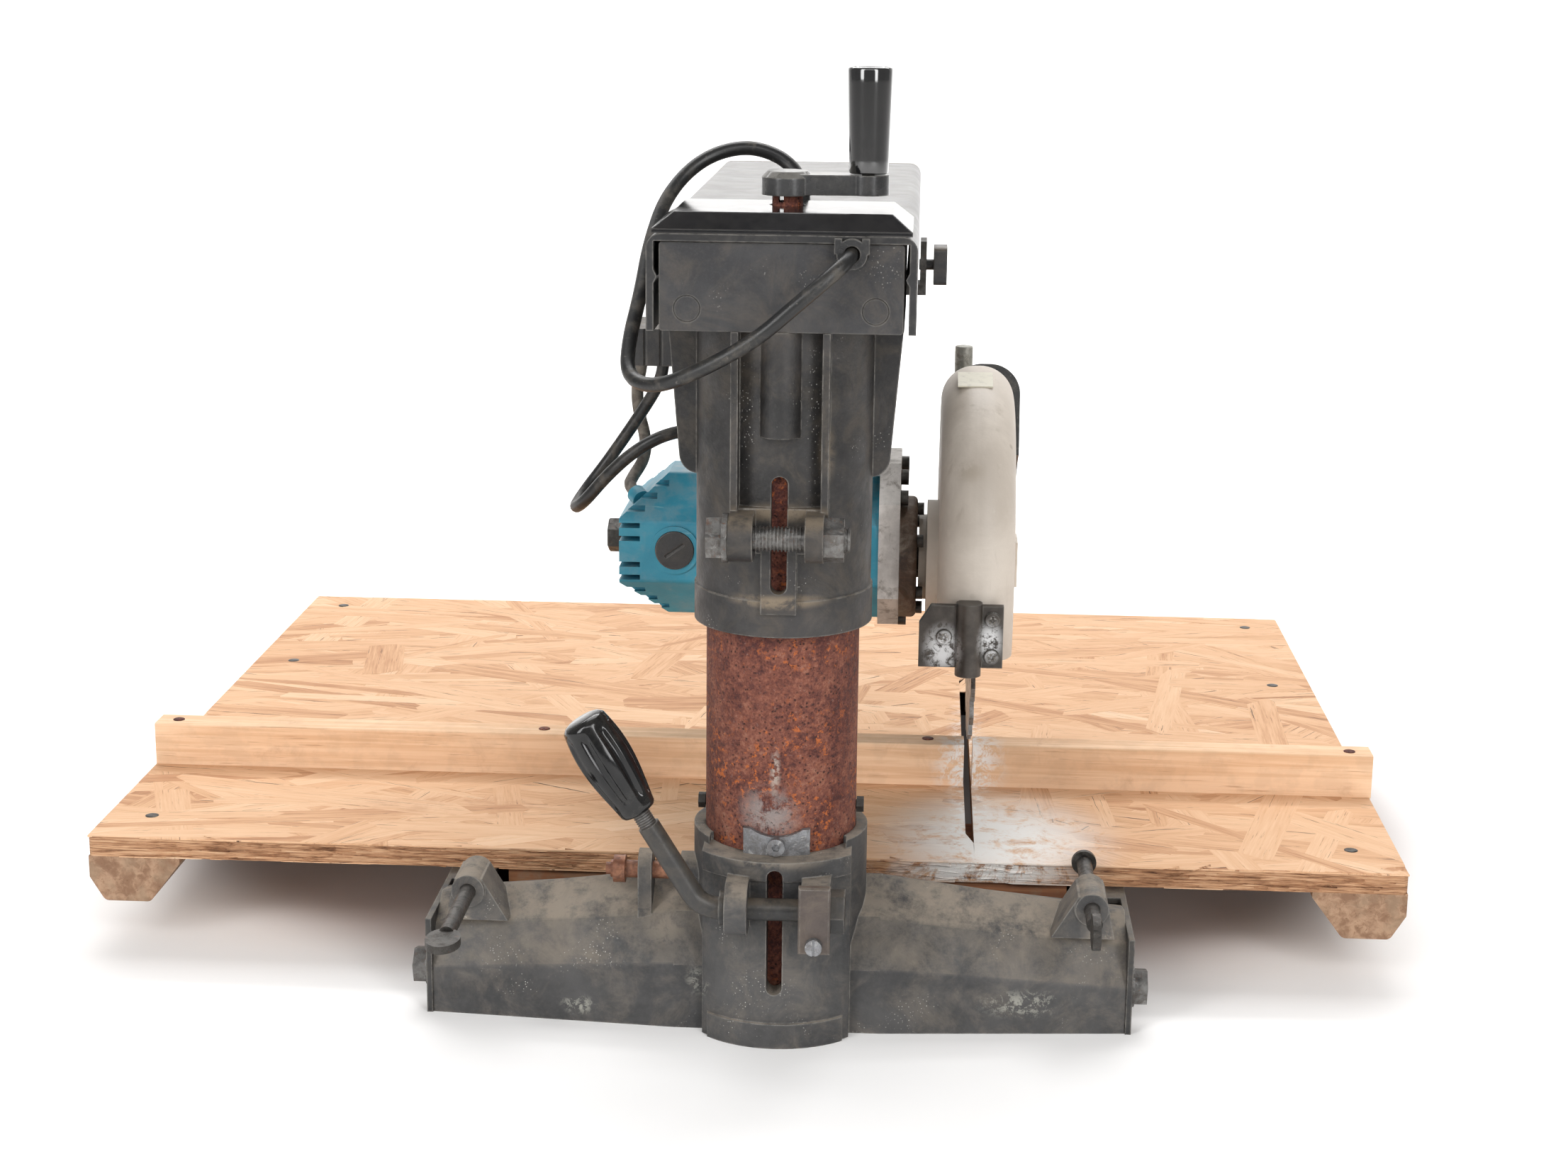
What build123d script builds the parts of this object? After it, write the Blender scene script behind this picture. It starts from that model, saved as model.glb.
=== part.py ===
from build123d import *
import os
from math import cos, pi, sin, tan

os.makedirs("parts", exist_ok=True)

# Radial arm saw on a plywood-strand table. Millimetres, +Z up, origin on the column's axis
# at the underside of the base. The operator stands on the -Y side and the column is at the back.

# --- driving dimensions ---------------------------------------------------------------
column_r = 38.1
column_wall = 5.0
column_top = 318.0
slide_gap = 0.15

rail_x = 180.0
rail_height = 51.0
rail_plate = 3.0
rail_back = 21.0
rail_front = -560.0
rail_flange = 24.0

board_width = 709.0
board_depth = 531.0
board_thick = 11.1
board_x = 25.0
board_back = -55.0
fence_back = -181.0
fence_thick = 19.0
fence_height = 25.4
kerf_x = -98.5
kerf_width = 5.0
cleat_thick = 25.4
cleat_width = 50.0

base_height = 72.0
collar_r = 44.0
collar_top = 102.0
rim_top = 98.0
boss_r = 51.0
slot_half = 3.9

sleeve_r = 43.3
sleeve_bottom = 210.0
sleeve_top = 358.5
clamp_y = 57.0
clamp_z = 262.0

arm_half = 63.0
arm_wall = 3.6
arm_bottom = 358.5
arm_top = 404.0
arm_back = 50.0
arm_front = -388.0
cap_height = 9.3

crank_x = -38.5
hub_bottom = 418.3
hub_top = 429.6
knob_top = 478.6
screw_r = 8.0

carriage_y = -225.0
carriage_half = 60.0
roller_x = 45.2
roller_z = 384.0
yoke_half_gap = 46.0
yoke_leg = 10.0
motor_y = -225.6
motor_z = 197.5
motor_apothem = 42.0
motor_end = 104.5
cap_joint = 57.0
arbor_y = -205.0
arbor_z = 193.5
blade_r = 104.8
guard_r = 110.5
guard_wall = 2.5
guard_in = -78.0
guard_out = -119.0
guard_round = 19.0
lead_r = 3.55

lever_y = 60.0
lever_z = 77.0
thumb_z = 66.0

board_low = rail_height
board_top = board_low + board_thick
board_left = board_x + board_width / 2
board_right = board_x - board_width / 2
board_front = board_back - board_depth
fence_front = fence_back - fence_thick
fence_top = board_top + fence_height


# --- small helpers --------------------------------------------------------------------
def save(builder, name):
    """Label a finished piece and write its STEP file."""
    builder.part.label = name
    export_step(builder.part, f"parts/{name}.step")


def block(x, y, z, mode=Mode.ADD):
    """A box from three (low, high) pairs."""
    centre = ((x[0] + x[1]) / 2, (y[0] + y[1]) / 2, (z[0] + z[1]) / 2)
    with Locations(centre):
        Box(x[1] - x[0], y[1] - y[0], z[1] - z[0], mode=mode)


def bar_x(x, y, z, r, mode=Mode.ADD):
    """A round bar along X between the two ends in x."""
    with Locations(Location(((x[0] + x[1]) / 2, y, z), (0, 90, 0))):
        Cylinder(r, x[1] - x[0], mode=mode)


def bar_y(x, y, z, r, mode=Mode.ADD):
    """A round bar along Y between the two ends in y."""
    with Locations(Location((x, (y[0] + y[1]) / 2, z), (90, 0, 0))):
        Cylinder(r, y[1] - y[0], mode=mode)


def bar_z(x, y, z, r, mode=Mode.ADD):
    """A round bar along Z between the two ends in z."""
    with Locations((x, y, (z[0] + z[1]) / 2)):
        Cylinder(r, z[1] - z[0], mode=mode)


def prism(plane, flats, length, sides=6, turn=0, mode=Mode.ADD):
    """A regular prism across the given flats, standing on a plane."""
    with BuildSketch(plane) as outline:
        RegularPolygon(flats / 2, sides, major_radius=False, rotation=turn)
    extrude(outline.sketch, amount=length, mode=mode)


def disc(plane, r):
    """A round face on a plane."""
    with BuildSketch(plane) as face:
        Circle(r)
    return face.sketch


def plane_x(x, y, z):
    """A plane facing +X, whose own axes are the row's Y and Z."""
    return Plane(origin=(x, y, z), x_dir=(0, 1, 0), z_dir=(1, 0, 0))


def plane_y(x, y, z):
    """A plane facing +Y."""
    return Plane(origin=(x, y, z), x_dir=(-1, 0, 0), z_dir=(0, 1, 0))


# --- base -----------------------------------------------------------------------------
wing_front = -34.0
wing_root = 52.0
wing_end = rail_x - rail_plate
pocket_wall = 6.0
tower_x = 158.0
pin_lug_x = 68.0
pin_y = 8.0
pin_z = 76.5

stop_plate_y = 73.2
stop_screw_x = -20.6
stop_screw_z = lever_z - 11
keeper_screw_z = rim_top + 5.2

with BuildPart() as base_casting:
    # two wings that narrow and fall from the collar to their ends
    root = [(30, 0), (30, 34), (17, 58), (-8, base_height), (wing_front, 60), (wing_front, 0)]
    end = [(20, 0), (20, 24), (9, 44), (-10, 55), (wing_front, 49), (wing_front, 0)]
    for x, section in ((wing_root, root), (wing_end, end)):
        with BuildSketch(plane_x(x, 0, 0)):
            with BuildLine():
                Polyline(*section, close=True)
            make_face()
    loft(ruled=True)
    ridges = base_casting.edges().filter_by(lambda edge: edge.length > 90 and edge.center().Z > 5)
    fillet(ridges, radius=5)
    mirror(about=Plane.YZ)
    with BuildSketch(plane_x(-wing_root, 0, 0)):
        with BuildLine():
            Polyline(*root, close=True)
        make_face()
    extrude(amount=2 * wing_root)
    # collar, its rear clamp boss and the bands round it
    bar_z(0, 0, (0, collar_top), collar_r)
    with BuildSketch(Plane.XY):
        Circle(boss_r)
        with Locations((0, boss_r)):
            Rectangle(74, 2 * boss_r, mode=Mode.INTERSECT)
    extrude(amount=rim_top)
    with BuildSketch(Plane.XY):
        Circle(boss_r + 1.6)
        with Locations((0, boss_r)):
            Rectangle(68, 2 * boss_r, mode=Mode.INTERSECT)
    extrude(amount=13)
    with BuildSketch(Plane.XY.offset(88)):
        Circle(boss_r + 1.2)
        with Locations((0, boss_r)):
            Rectangle(74, 2 * boss_r, mode=Mode.INTERSECT)
    extrude(amount=rim_top - 88)
    # the low rear rim between the two ears
    block((-34, 34), (20, 60), (rim_top, collar_top + 1), Mode.SUBTRACT)
    # clamp lugs
    block((12.5, 23.6), (40, lever_y), (lever_z - 13, lever_z + 13))
    bar_x((12.5, 23.6), lever_y, lever_z, 13)
    block((-27.6, -13.6), (40, stop_plate_y), (lever_z - 15, lever_z + 13))
    bar_x((-40, 40), lever_y, lever_z, 5.6, Mode.SUBTRACT)
    bar_y(stop_screw_x, (64, 80), stop_screw_z, 2.1, Mode.SUBTRACT)
    # screw towers near both ends, each a block with a round boss on top
    for side in (1, -1):
        with BuildSketch(Plane.XZ.offset(-18)):
            with BuildLine():
                Polyline(
                    (side * (tower_x - 20), 50),
                    (side * (tower_x - 7), 72),
                    (side * (tower_x + 7), 72),
                    (side * (tower_x + 12), 50),
                    close=True,
                )
            make_face()
        extrude(amount=26)
        bar_y(side * tower_x, (-10, 20), thumb_z, 8.5)
        bar_y(side * tower_x, (-11, 23), thumb_z, 4.1, Mode.SUBTRACT)
    # upright lug and collar boss that carry the index pin
    block((pin_lug_x - 3.5, pin_lug_x + 3.5), (pin_y - 9, pin_y + 9), (50, pin_z + 2))
    bar_x((pin_lug_x - 3.5, pin_lug_x + 3.5), pin_y, pin_z + 2, 9)
    bar_x((38, 50), pin_y, pin_z, 10)
    bar_x((30, 80), pin_y, pin_z, 4.6, Mode.SUBTRACT)
    # pockets under the wings
    for side in (1, -1):
        pocket = sorted((side * (boss_r + 4), side * (wing_end - pocket_wall)))
        block(pocket, (wing_front + pocket_wall, 12), (-1, 33), Mode.SUBTRACT)
    # bore for the column over a closed floor, and the clamp slit with round ends
    bar_z(0, 0, (5, collar_top + 1), column_r + slide_gap, Mode.SUBTRACT)
    block((-slot_half, slot_half), (30, 60), (28 + slot_half, 94 - slot_half), Mode.SUBTRACT)
    for end_z in (28 + slot_half, 94 - slot_half):
        bar_y(0, (30, 60), end_z, slot_half, Mode.SUBTRACT)
    # holes for the bolts through the rails
    for side in (1, -1):
        bolt = sorted((side * (wing_end - 12), side * (wing_end + 1)))
        bar_x(bolt, 8, 21, 5.1, Mode.SUBTRACT)
save(base_casting, "base_casting")

for name, side in (("left_rail", 1), ("right_rail", -1)):
    with BuildPart() as rail:
        web = sorted((side * (rail_x - rail_plate), side * rail_x))
        flange = sorted((side * (rail_x - rail_flange), side * rail_x))
        block(web, (rail_front, rail_back), (0, rail_height))
        block(flange, (rail_front, wing_front - 4), (0, rail_plate))
        block(flange, (rail_front, wing_front - 4), (rail_height - rail_plate, rail_height))
        for bolt_y, bolt_z in ((8, 21), (rail_front + 20, 24)):
            bar_x(sorted((side * (rail_x - 5), side * (rail_x + 1))), bolt_y, bolt_z, 5.1, Mode.SUBTRACT)
        for bench_y in (-120, rail_front + 60):
            bar_z(side * (rail_x - 13), bench_y, (-1, rail_plate + 1), 4.5, Mode.SUBTRACT)
    save(rail, name)

with BuildPart() as front_crossbar:
    cross_x = rail_x - rail_plate
    cross_y = (rail_front, rail_front + 40)
    block((-cross_x, cross_x), cross_y, (rail_plate, rail_height - rail_plate))
    block((-cross_x - 1, cross_x + 1), (cross_y[0] + 3, cross_y[1] + 1), (rail_plate + 3, rail_height), Mode.SUBTRACT)
    block((-cross_x, -cross_x + 3), cross_y, (rail_plate, rail_height - rail_plate))
    block((cross_x - 3, cross_x), cross_y, (rail_plate, rail_height - rail_plate))
    for side in (1, -1):
        bar_x(sorted((side * (cross_x - 5), side * (cross_x + 1))), rail_front + 20, 24, 5.1, Mode.SUBTRACT)
save(front_crossbar, "front_crossbar")

with BuildPart() as rail_bolts:
    for side in (1, -1):
        for bolt_y, bolt_z, depth in ((8, 21, 12), (rail_front + 20, 24, 10)):
            head = sorted((side * (rail_x + 1.5), side * (rail_x + 8)))
            washer = sorted((side * rail_x, side * (rail_x + 1.5)))
            shank = sorted((side * rail_x, side * (rail_x - depth)))
            prism(plane_x(head[0], bolt_y, bolt_z), 17, 6.5, turn=15)
            bar_x(washer, bolt_y, bolt_z, 10.5)
            bar_x(shank, bolt_y, bolt_z, 5)
save(rail_bolts, "rail_bolts")

# --- table ----------------------------------------------------------------------------
with BuildPart() as table_board:
    block((board_right, board_left), (board_front, board_back), (board_low, board_top))
    fillet(table_board.edges().filter_by(Axis.Z), radius=3)
    kerf_ends = (board_back - 7, board_back - 390)
    with BuildSketch(Plane.XY.offset(board_low - 1)):
        with BuildLine():
            Polyline(
                (kerf_x + 0.6, kerf_ends[0]),
                (kerf_x + 2.2, kerf_ends[0] - 26),
                (kerf_x + 2.2, kerf_ends[1]),
                (kerf_x - 2.2, kerf_ends[1]),
                (kerf_x - 2.2, kerf_ends[0] - 26),
                (kerf_x - 0.6, kerf_ends[0]),
                close=True,
            )
        make_face()
    extrude(amount=board_thick + 2, mode=Mode.SUBTRACT)
save(table_board, "table_board")

for name, outer, inner in (
    ("left_cleat", board_left, board_left - cleat_width),
    ("right_cleat", board_right, board_right + cleat_width),
):
    with BuildPart() as cleat:
        inward = (inner - outer) / cleat_width
        with BuildSketch(Plane.XZ.offset(-board_back)) as cleat_shape:
            with BuildLine():
                Polyline(
                    (outer, board_low),
                    (outer, board_low - 12),
                    (outer + inward * 8, board_low - cleat_thick),
                    (outer + inward * 33, board_low - cleat_thick),
                    (inner, board_low - 3),
                    (inner, board_low),
                    close=True,
                )
            make_face()
            fillet(cleat_shape.vertices().group_by(Axis.Y)[0], radius=4)
        extrude(amount=board_depth)
    save(cleat, name)

with BuildPart() as centre_board:
    block((-150, 150), (-150, board_back - 3), (board_low - 19, board_low))
    fillet(centre_board.edges().filter_by(Axis.X), radius=1.5)
save(centre_board, "centre_board")

notch = (kerf_x - kerf_width / 2, kerf_x + kerf_width / 2)
for name, ends in (("left_fence", (notch[1], board_left)), ("right_fence", (board_right - 1, notch[0]))):
    with BuildPart() as fence:
        block(ends, (fence_front, fence_back), (board_top, fence_top))
        fillet(fence.edges().filter_by(Axis.X).sort_by(Axis.Z)[2:], radius=1.2)
    save(fence, name)

# --- parts fixed to the base ----------------------------------------------------------
with BuildPart() as column_keeper:
    with BuildSketch(Plane.XY.offset(rim_top)):
        Circle(column_r + 3.4)
        Circle(column_r + 0.4, mode=Mode.SUBTRACT)
        with Locations((0, 50)):
            Rectangle(33, 50, mode=Mode.INTERSECT)
    extrude(amount=13)
    bar_y(0, (30, 50), rim_top + 35, 25.5, Mode.SUBTRACT)
    bar_y(0, (30, 50), keeper_screw_z, 2.6, Mode.SUBTRACT)
save(column_keeper, "column_keeper")

with BuildPart() as lever_stop_plate:
    with BuildSketch(plane_y(stop_screw_x, stop_plate_y, lever_z + 1)):
        Rectangle(15.5, 34)
    extrude(amount=4.5)
    chamfer(lever_stop_plate.faces().sort_by(Axis.Y)[-1].edges(), length=0.8)
    bar_y(stop_screw_x, (stop_plate_y - 1, stop_plate_y + 6), stop_screw_z, 2.1, Mode.SUBTRACT)
save(lever_stop_plate, "lever_stop_plate")

with BuildPart() as base_screws:
    # socket screw of the column keeper
    keeper_face = column_r + 3.4
    bar_y(0, (column_r + 0.9, keeper_face), keeper_screw_z, 2.5)
    bar_y(0, (keeper_face + 0.1, keeper_face + 3.4), keeper_screw_z, 4.4)
    bar_y(0, (keeper_face - 0.2, keeper_face + 0.2), keeper_screw_z, 2.5)
    prism(plane_y(0, keeper_face + 1.4, keeper_screw_z), 3.6, 3, mode=Mode.SUBTRACT)
    # slotted screw of the lever's stop plate
    bar_y(stop_screw_x, (66, stop_plate_y + 4.6), stop_screw_z, 2.0)
    bar_y(stop_screw_x, (stop_plate_y + 4.5, stop_plate_y + 8.5), stop_screw_z, 4.1)
    slot = (stop_screw_x - 0.6, stop_screw_x + 0.6)
    block(slot, (stop_plate_y + 7.5, stop_plate_y + 9), (stop_screw_z - 5, stop_screw_z + 5), Mode.SUBTRACT)
save(base_screws, "base_screws")

# --- mitre lock lever -----------------------------------------------------------------
grip_axis = Vector(30, 0, 49).normalized()
lever_elbow = Vector(35.6, lever_y, lever_z)
lever_tip = lever_elbow + grip_axis * 49
grip_foot = lever_tip + grip_axis * 8

with BuildPart() as mitre_lever:
    bar_x((-35, 26), lever_y, lever_z, 5.5)
    with BuildLine() as lever_path:
        FilletPolyline(Vector(26, lever_y, lever_z), lever_elbow, lever_tip, radius=16)
    with BuildSketch(Plane(origin=lever_path.line @ 0, z_dir=lever_path.line % 0)):
        Circle(5.5)
    sweep(path=lever_path.line)
    tip = Plane(origin=lever_path.line @ 1, z_dir=lever_path.line % 1)
    extrude(disc(tip, 4.2), amount=14)
    # washers and the worn nut at the far end
    bar_x((23.7, 26.4), lever_y, lever_z, 8.5)
    prism(plane_x(-35.0, lever_y, lever_z), 19, 7.3)
save(mitre_lever, "mitre_lever")

grip_length = 54.0
with BuildPart() as mitre_grip:
    with BuildSketch(Plane(origin=grip_foot, x_dir=(0, 1, 0), z_dir=grip_axis)) as grip_start:
        RegularPolygon(9.4, 8, rotation=22.5)
    with BuildSketch(Plane(origin=grip_foot + grip_axis * grip_length * 0.6, x_dir=(0, 1, 0), z_dir=grip_axis)):
        RegularPolygon(13.8, 8, rotation=22.5)
    with BuildSketch(Plane(origin=grip_foot + grip_axis * grip_length, x_dir=(0, 1, 0), z_dir=grip_axis)):
        RegularPolygon(9.8, 8, rotation=22.5)
    loft()
    hole_foot = Plane(origin=grip_foot - grip_axis * 4, z_dir=grip_axis)
    extrude(disc(hole_foot, 4.25), amount=16, mode=Mode.SUBTRACT)
save(mitre_grip, "mitre_grip")

# --- index pin and the two thumb screws -----------------------------------------------
with BuildPart() as index_pin:
    bar_x((38.3, 86), pin_y, pin_z, 4.5)
    bar_x((86, 88.5), pin_y, pin_z, 3.2)
    bar_x((78.5, 84.5), pin_y, pin_z, 7)
save(index_pin, "index_pin")

screw_reach = 88.3
pad_thick = 3.0
for name, side, head_y, turn in (("left_thumb_screw", 1, 78, 0), ("right_thumb_screw", -1, 40, 90)):
    screw_x = side * tower_x
    pad_y = head_y - screw_reach
    with BuildPart() as thumb_screw:
        bar_y(screw_x, (pad_y, head_y), thumb_z, 4)
        bar_y(screw_x, (pad_y - pad_thick, pad_y), thumb_z, 6.5)
        # flat oval head, left level on one screw and standing on the other
        across = (cos(turn * pi / 180), 0, sin(turn * pi / 180))
        with BuildSketch(Plane(origin=(screw_x, head_y + 9, thumb_z), x_dir=across, z_dir=(across[2], 0, -across[0]))):
            Ellipse(8.5, 12)
        extrude(amount=2, both=True)
    save(thumb_screw, name)

# --- column ---------------------------------------------------------------------------
with BuildPart() as column_tube:
    bar_z(0, 0, (5.3, column_top), column_r)
    bar_z(0, 0, (4, column_top + 1), column_r - column_wall, Mode.SUBTRACT)
    bar_x((-45, 45), 0, 112, 2.6, Mode.SUBTRACT)
    # nut of the lifting screw, pressed into the tube's head
    bar_z(0, 0, (column_top - 30, column_top - 4), column_r - column_wall)
    bar_z(0, 0, (column_top - 31, column_top), screw_r + 0.1, Mode.SUBTRACT)
    chamfer(column_tube.edges().filter_by(GeomType.CIRCLE).group_by(Axis.Z)[-1], length=0.8)
save(column_tube, "column_tube")

with BuildPart() as column_stop_screws:
    for side in (1, -1):
        bar_x(sorted((side * 31, side * 38.4)), 0, 112, 2.5)
        head = sorted((side * 38.4, side * 42))
        prism(plane_x(head[0], 0, 112), 7, 3.6)
save(column_stop_screws, "column_stop_screws")

# --- arm sleeve -----------------------------------------------------------------------
inner_half = arm_half - arm_wall
head_half = inner_half - 2.0
head_top = arm_top - arm_wall - 0.4
bore_top = column_top + 28

with BuildPart() as arm_sleeve:
    bar_z(0, 0, (sleeve_bottom, sleeve_top), sleeve_r)
    bar_z(0, 0, (sleeve_bottom, 228), sleeve_r + 0.9)
    # wings that widen upwards to carry the arm, and the head inside it
    with BuildSketch(Plane.XZ.offset(-4)) as wing_shape:
        with BuildLine():
            Polyline((-51, 282), (51, 282), (head_half, sleeve_top), (-head_half, sleeve_top), close=True)
        make_face()
        fillet(wing_shape.vertices().group_by(Axis.Y)[0], radius=10)
    extrude(amount=48)
    block((-head_half, head_half), (-62, 40), (sleeve_top, head_top))
    block((-head_half + 7, head_half - 7), (-55, 33), (sleeve_top + 6, head_top + 1), Mode.SUBTRACT)
    # two upright ribs and the round boss between them
    for side in (1, -1):
        rib = sorted((side * 19.8, side * 23.4))
        block(rib, (30, 49), (272, sleeve_top))
    block((-23.4, 23.4), (30, 45.5), (252, 274))
    bar_z(0, 39, (308, sleeve_top), 10.2)
    block((-8.6, 8.6), (30, 46), (222, 256))
    # clamp lugs round the bolt
    for lug in ((11.4, 23.4), (-22.0, -13.1)):
        block(lug, (38, clamp_y), (clamp_z - 11.2, clamp_z + 11.2))
        bar_x(lug, clamp_y, clamp_z, 11.2)
    bar_x((-30, 30), clamp_y, clamp_z, 6.1, Mode.SUBTRACT)
    # bore, clamp slit with round ends, and the lifting screw's hole
    bar_z(0, 0, (sleeve_bottom - 1, bore_top), column_r + slide_gap, Mode.SUBTRACT)
    block((-slot_half, slot_half), (30, 60), (232 + slot_half, 289 - slot_half), Mode.SUBTRACT)
    for end_z in (232 + slot_half, 289 - slot_half):
        bar_y(0, (30, 60), end_z, slot_half, Mode.SUBTRACT)
    bar_z(0, 0, (bore_top - 1, head_top), screw_r + 0.4, Mode.SUBTRACT)
save(arm_sleeve, "arm_sleeve")

with BuildPart() as sleeve_clamp_bolt:
    bar_x((-34.3, 26), clamp_y, clamp_z, 5.3)
    # rolled thread crests on the bare stretch between the lugs and past the nut
    pitch = 1.75
    crest_x = -34.0
    while crest_x < 11.0:
        with Locations(Location((crest_x + 0.35, clamp_y, clamp_z), (0, 90, 0))):
            Cylinder(6.0, 0.7)
        crest_x += pitch
    prism(plane_x(26, clamp_y, clamp_z), 19, 7.5, turn=12)
    bar_x((23.4, 26), clamp_y, clamp_z, 11.8)
    prism(plane_x(-31.5, clamp_y, clamp_z), 19, 9.5, turn=25)
save(sleeve_clamp_bolt, "sleeve_clamp_bolt")

# --- arm ------------------------------------------------------------------------------
grommet = (-5, -58)

with BuildPart() as arm_channel:
    with BuildSketch(Plane.XZ.offset(-arm_back)) as channel_shape:
        with Locations((0, (arm_bottom + arm_top) / 2)):
            Rectangle(2 * arm_half, arm_top - arm_bottom)
        fillet(channel_shape.vertices().group_by(Axis.Y)[-1], radius=7)
        with Locations((0, (arm_bottom + arm_top) / 2 - arm_wall)):
            Rectangle(2 * inner_half, arm_top - arm_bottom, mode=Mode.SUBTRACT)
        # rolled tracks for the carriage rollers
        for side in (1, -1):
            with BuildLine():
                Polyline(
                    (side * inner_half, roller_z - 3.2),
                    (side * (inner_half - 1.6), roller_z),
                    (side * inner_half, roller_z + 3.2),
                    close=True,
                )
            make_face()
    extrude(amount=arm_back - arm_front)
    bar_z(0, 0, (arm_top - 6, arm_top + 1), screw_r + 0.6, Mode.SUBTRACT)
    bar_z(*grommet, (arm_top - 6, arm_top + 1), 4.6, Mode.SUBTRACT)
save(arm_channel, "arm_channel")

cover_half = inner_half - 2.4
clip_x = -32.7
with BuildPart() as rear_cover:
    block((-cover_half, cover_half), (40, 48.5), (arm_bottom, head_top))
    fillet(rear_cover.edges().filter_by(Axis.Y), radius=1.5)
    block((clip_x - 7.4, clip_x + 7.4), (39, 50), (394, head_top + 1), Mode.SUBTRACT)
    bar_y(clip_x, (39, 50), 396, 7.4, Mode.SUBTRACT)
    # two blanking plugs in shallow rings
    for plug_x in (44, -44):
        bar_y(plug_x, (47.9, 49), 369, 6.4, Mode.SUBTRACT)
        bar_y(plug_x, (47, 48.3), 369, 5.9)
save(rear_cover, "rear_cover")

with BuildPart() as lead_entries:
    # U-shaped relief where the lead leaves the rear cover
    block((clip_x - 7.2, clip_x + 7.2), (40.2, 54), (396, head_top))
    bar_y(clip_x, (40.2, 54), 396, 7.2)
    block((clip_x - 8, clip_x + 8), (40, arm_back + 0.2), (head_top, arm_top), Mode.SUBTRACT)
    block((clip_x - 8.2, clip_x - 4.6), (arm_back + 0.2, 54), (396, arm_top - 0.8))
    block((clip_x + 4.6, clip_x + 8.2), (arm_back + 0.2, 54), (396, arm_top - 0.8))
    bar_y(clip_x, (50, 55), 396, lead_r + 0.25, Mode.SUBTRACT)
    # rubber grommet where it dives into the arm
    bar_z(*grommet, (arm_top, arm_top + 3), 7)
    bar_z(*grommet, (arm_top - 3.4, arm_top), 4.5)
    bar_z(*grommet, (arm_top - 4, arm_top + 4), lead_r + 0.05, Mode.SUBTRACT)
save(lead_entries, "lead_entries")

with BuildPart() as top_cap:
    with BuildSketch(Plane.XY.offset(arm_top)):
        with Locations((0, (arm_back - 26) / 2)):
            Rectangle(2 * 60.5, arm_back + 26)
    with BuildSketch(Plane.XY.offset(arm_top + 2)):
        with Locations((0, (arm_back - 26) / 2)):
            Rectangle(2 * 60.5, arm_back + 26)
    loft(ruled=True)
    with BuildSketch(Plane.XY.offset(arm_top + 2)):
        with Locations((0, (arm_back - 26) / 2)):
            Rectangle(2 * 60.5, arm_back + 26)
    with BuildSketch(Plane.XY.offset(arm_top + cap_height)):
        with Locations((0, (arm_back - 10 - 24) / 2)):
            Rectangle(2 * 51, arm_back - 10 + 24)
    loft(ruled=True)
    bar_z(0, 0, (arm_top - 1, arm_top + cap_height + 1), screw_r + 0.6, Mode.SUBTRACT)
save(top_cap, "top_cap")

with BuildPart() as arm_end_cap:
    with BuildSketch(Plane.XZ.offset(-arm_front)) as end_shape:
        with Locations((0, (arm_bottom + arm_top) / 2)):
            Rectangle(2 * arm_half, arm_top - arm_bottom)
        fillet(end_shape.vertices().group_by(Axis.Y)[-1], radius=7)
    extrude(amount=5)
    fillet(arm_end_cap.faces().sort_by(Axis.Y)[0].edges(), radius=1.5)
save(arm_end_cap, "arm_end_cap")

# --- crank and lifting screw ----------------------------------------------------------
with BuildPart() as lifting_screw:
    bar_z(0, 0, (160, arm_top - 4), screw_r)
    bar_z(0, 0, (arm_top - 4, hub_bottom), 7.4)
    bar_z(0, 0, (sleeve_top + 6.2, sleeve_top + 16), 13)
    block((1.5, 4), (-9, 9), (hub_bottom - 3.4, hub_bottom + 1), Mode.SUBTRACT)
save(lifting_screw, "lifting_screw")

with BuildPart() as crank_arm:
    bar_z(0, 0, (hub_bottom, hub_top), 12.6)
    chamfer(crank_arm.edges().filter_by(GeomType.CIRCLE).group_by(Axis.Z)[-1], length=3)
    with BuildSketch(Plane.XY.offset(hub_bottom + 0.4)):
        with BuildLine():
            Polyline((0, -9.5), (crank_x, -8), (crank_x, 8), (0, 9.5), close=True)
        make_face()
        with Locations((crank_x, 0)):
            Circle(10)
    extrude(amount=9.6)
    bar_z(crank_x, 0, (hub_top - 2, knob_top - 5), 3)
save(crank_arm, "crank_arm")

with BuildPart() as crank_knob:
    with BuildSketch(Plane.XZ):
        with BuildLine():
            Polyline(
                (crank_x + 3.15, hub_top - 0.9),
                (crank_x + 9.4, hub_top - 0.9),
                (crank_x + 10.7, knob_top - 1.5),
                (crank_x + 9.7, knob_top),
                (crank_x, knob_top),
                (crank_x, knob_top - 4.7),
                (crank_x + 3.15, knob_top - 4.7),
                close=True,
            )
        make_face()
    revolve(axis=Axis((crank_x, 0, 0), (0, 0, 1)))
save(crank_knob, "crank_knob")

# --- carriage -------------------------------------------------------------------------
plate_low = 366.0
axle_y = (carriage_y - 46, carriage_y + 46)
with BuildPart() as carriage_plate:
    block((-53, 53), (carriage_y - carriage_half, carriage_y + carriage_half), (plate_low, plate_low + 7))
    fillet(carriage_plate.edges().filter_by(Axis.Z), radius=6)
    bar_z(0, carriage_y, (340, plate_low), 30)
    # arm that reaches under the right flange to the carriage lock
    block((-67.5, -20), (carriage_y + 8, carriage_y + 30), (346, 352))
    block((-67.5, -64), (carriage_y + 8, carriage_y + 30), (346, 376))
    bar_x((-70, -60), carriage_y + 19, 362, 3.1, Mode.SUBTRACT)
    # roller axles with their shoulders and nuts
    for x in (-roller_x, roller_x):
        for y in axle_y:
            bar_z(x, y, (plate_low, roller_z + 9), 4)
            bar_z(x, y, (plate_low, roller_z - 6), 6)
            prism(Plane(origin=(x, y, roller_z + 6)), 10, 4)
save(carriage_plate, "carriage_plate")

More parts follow.
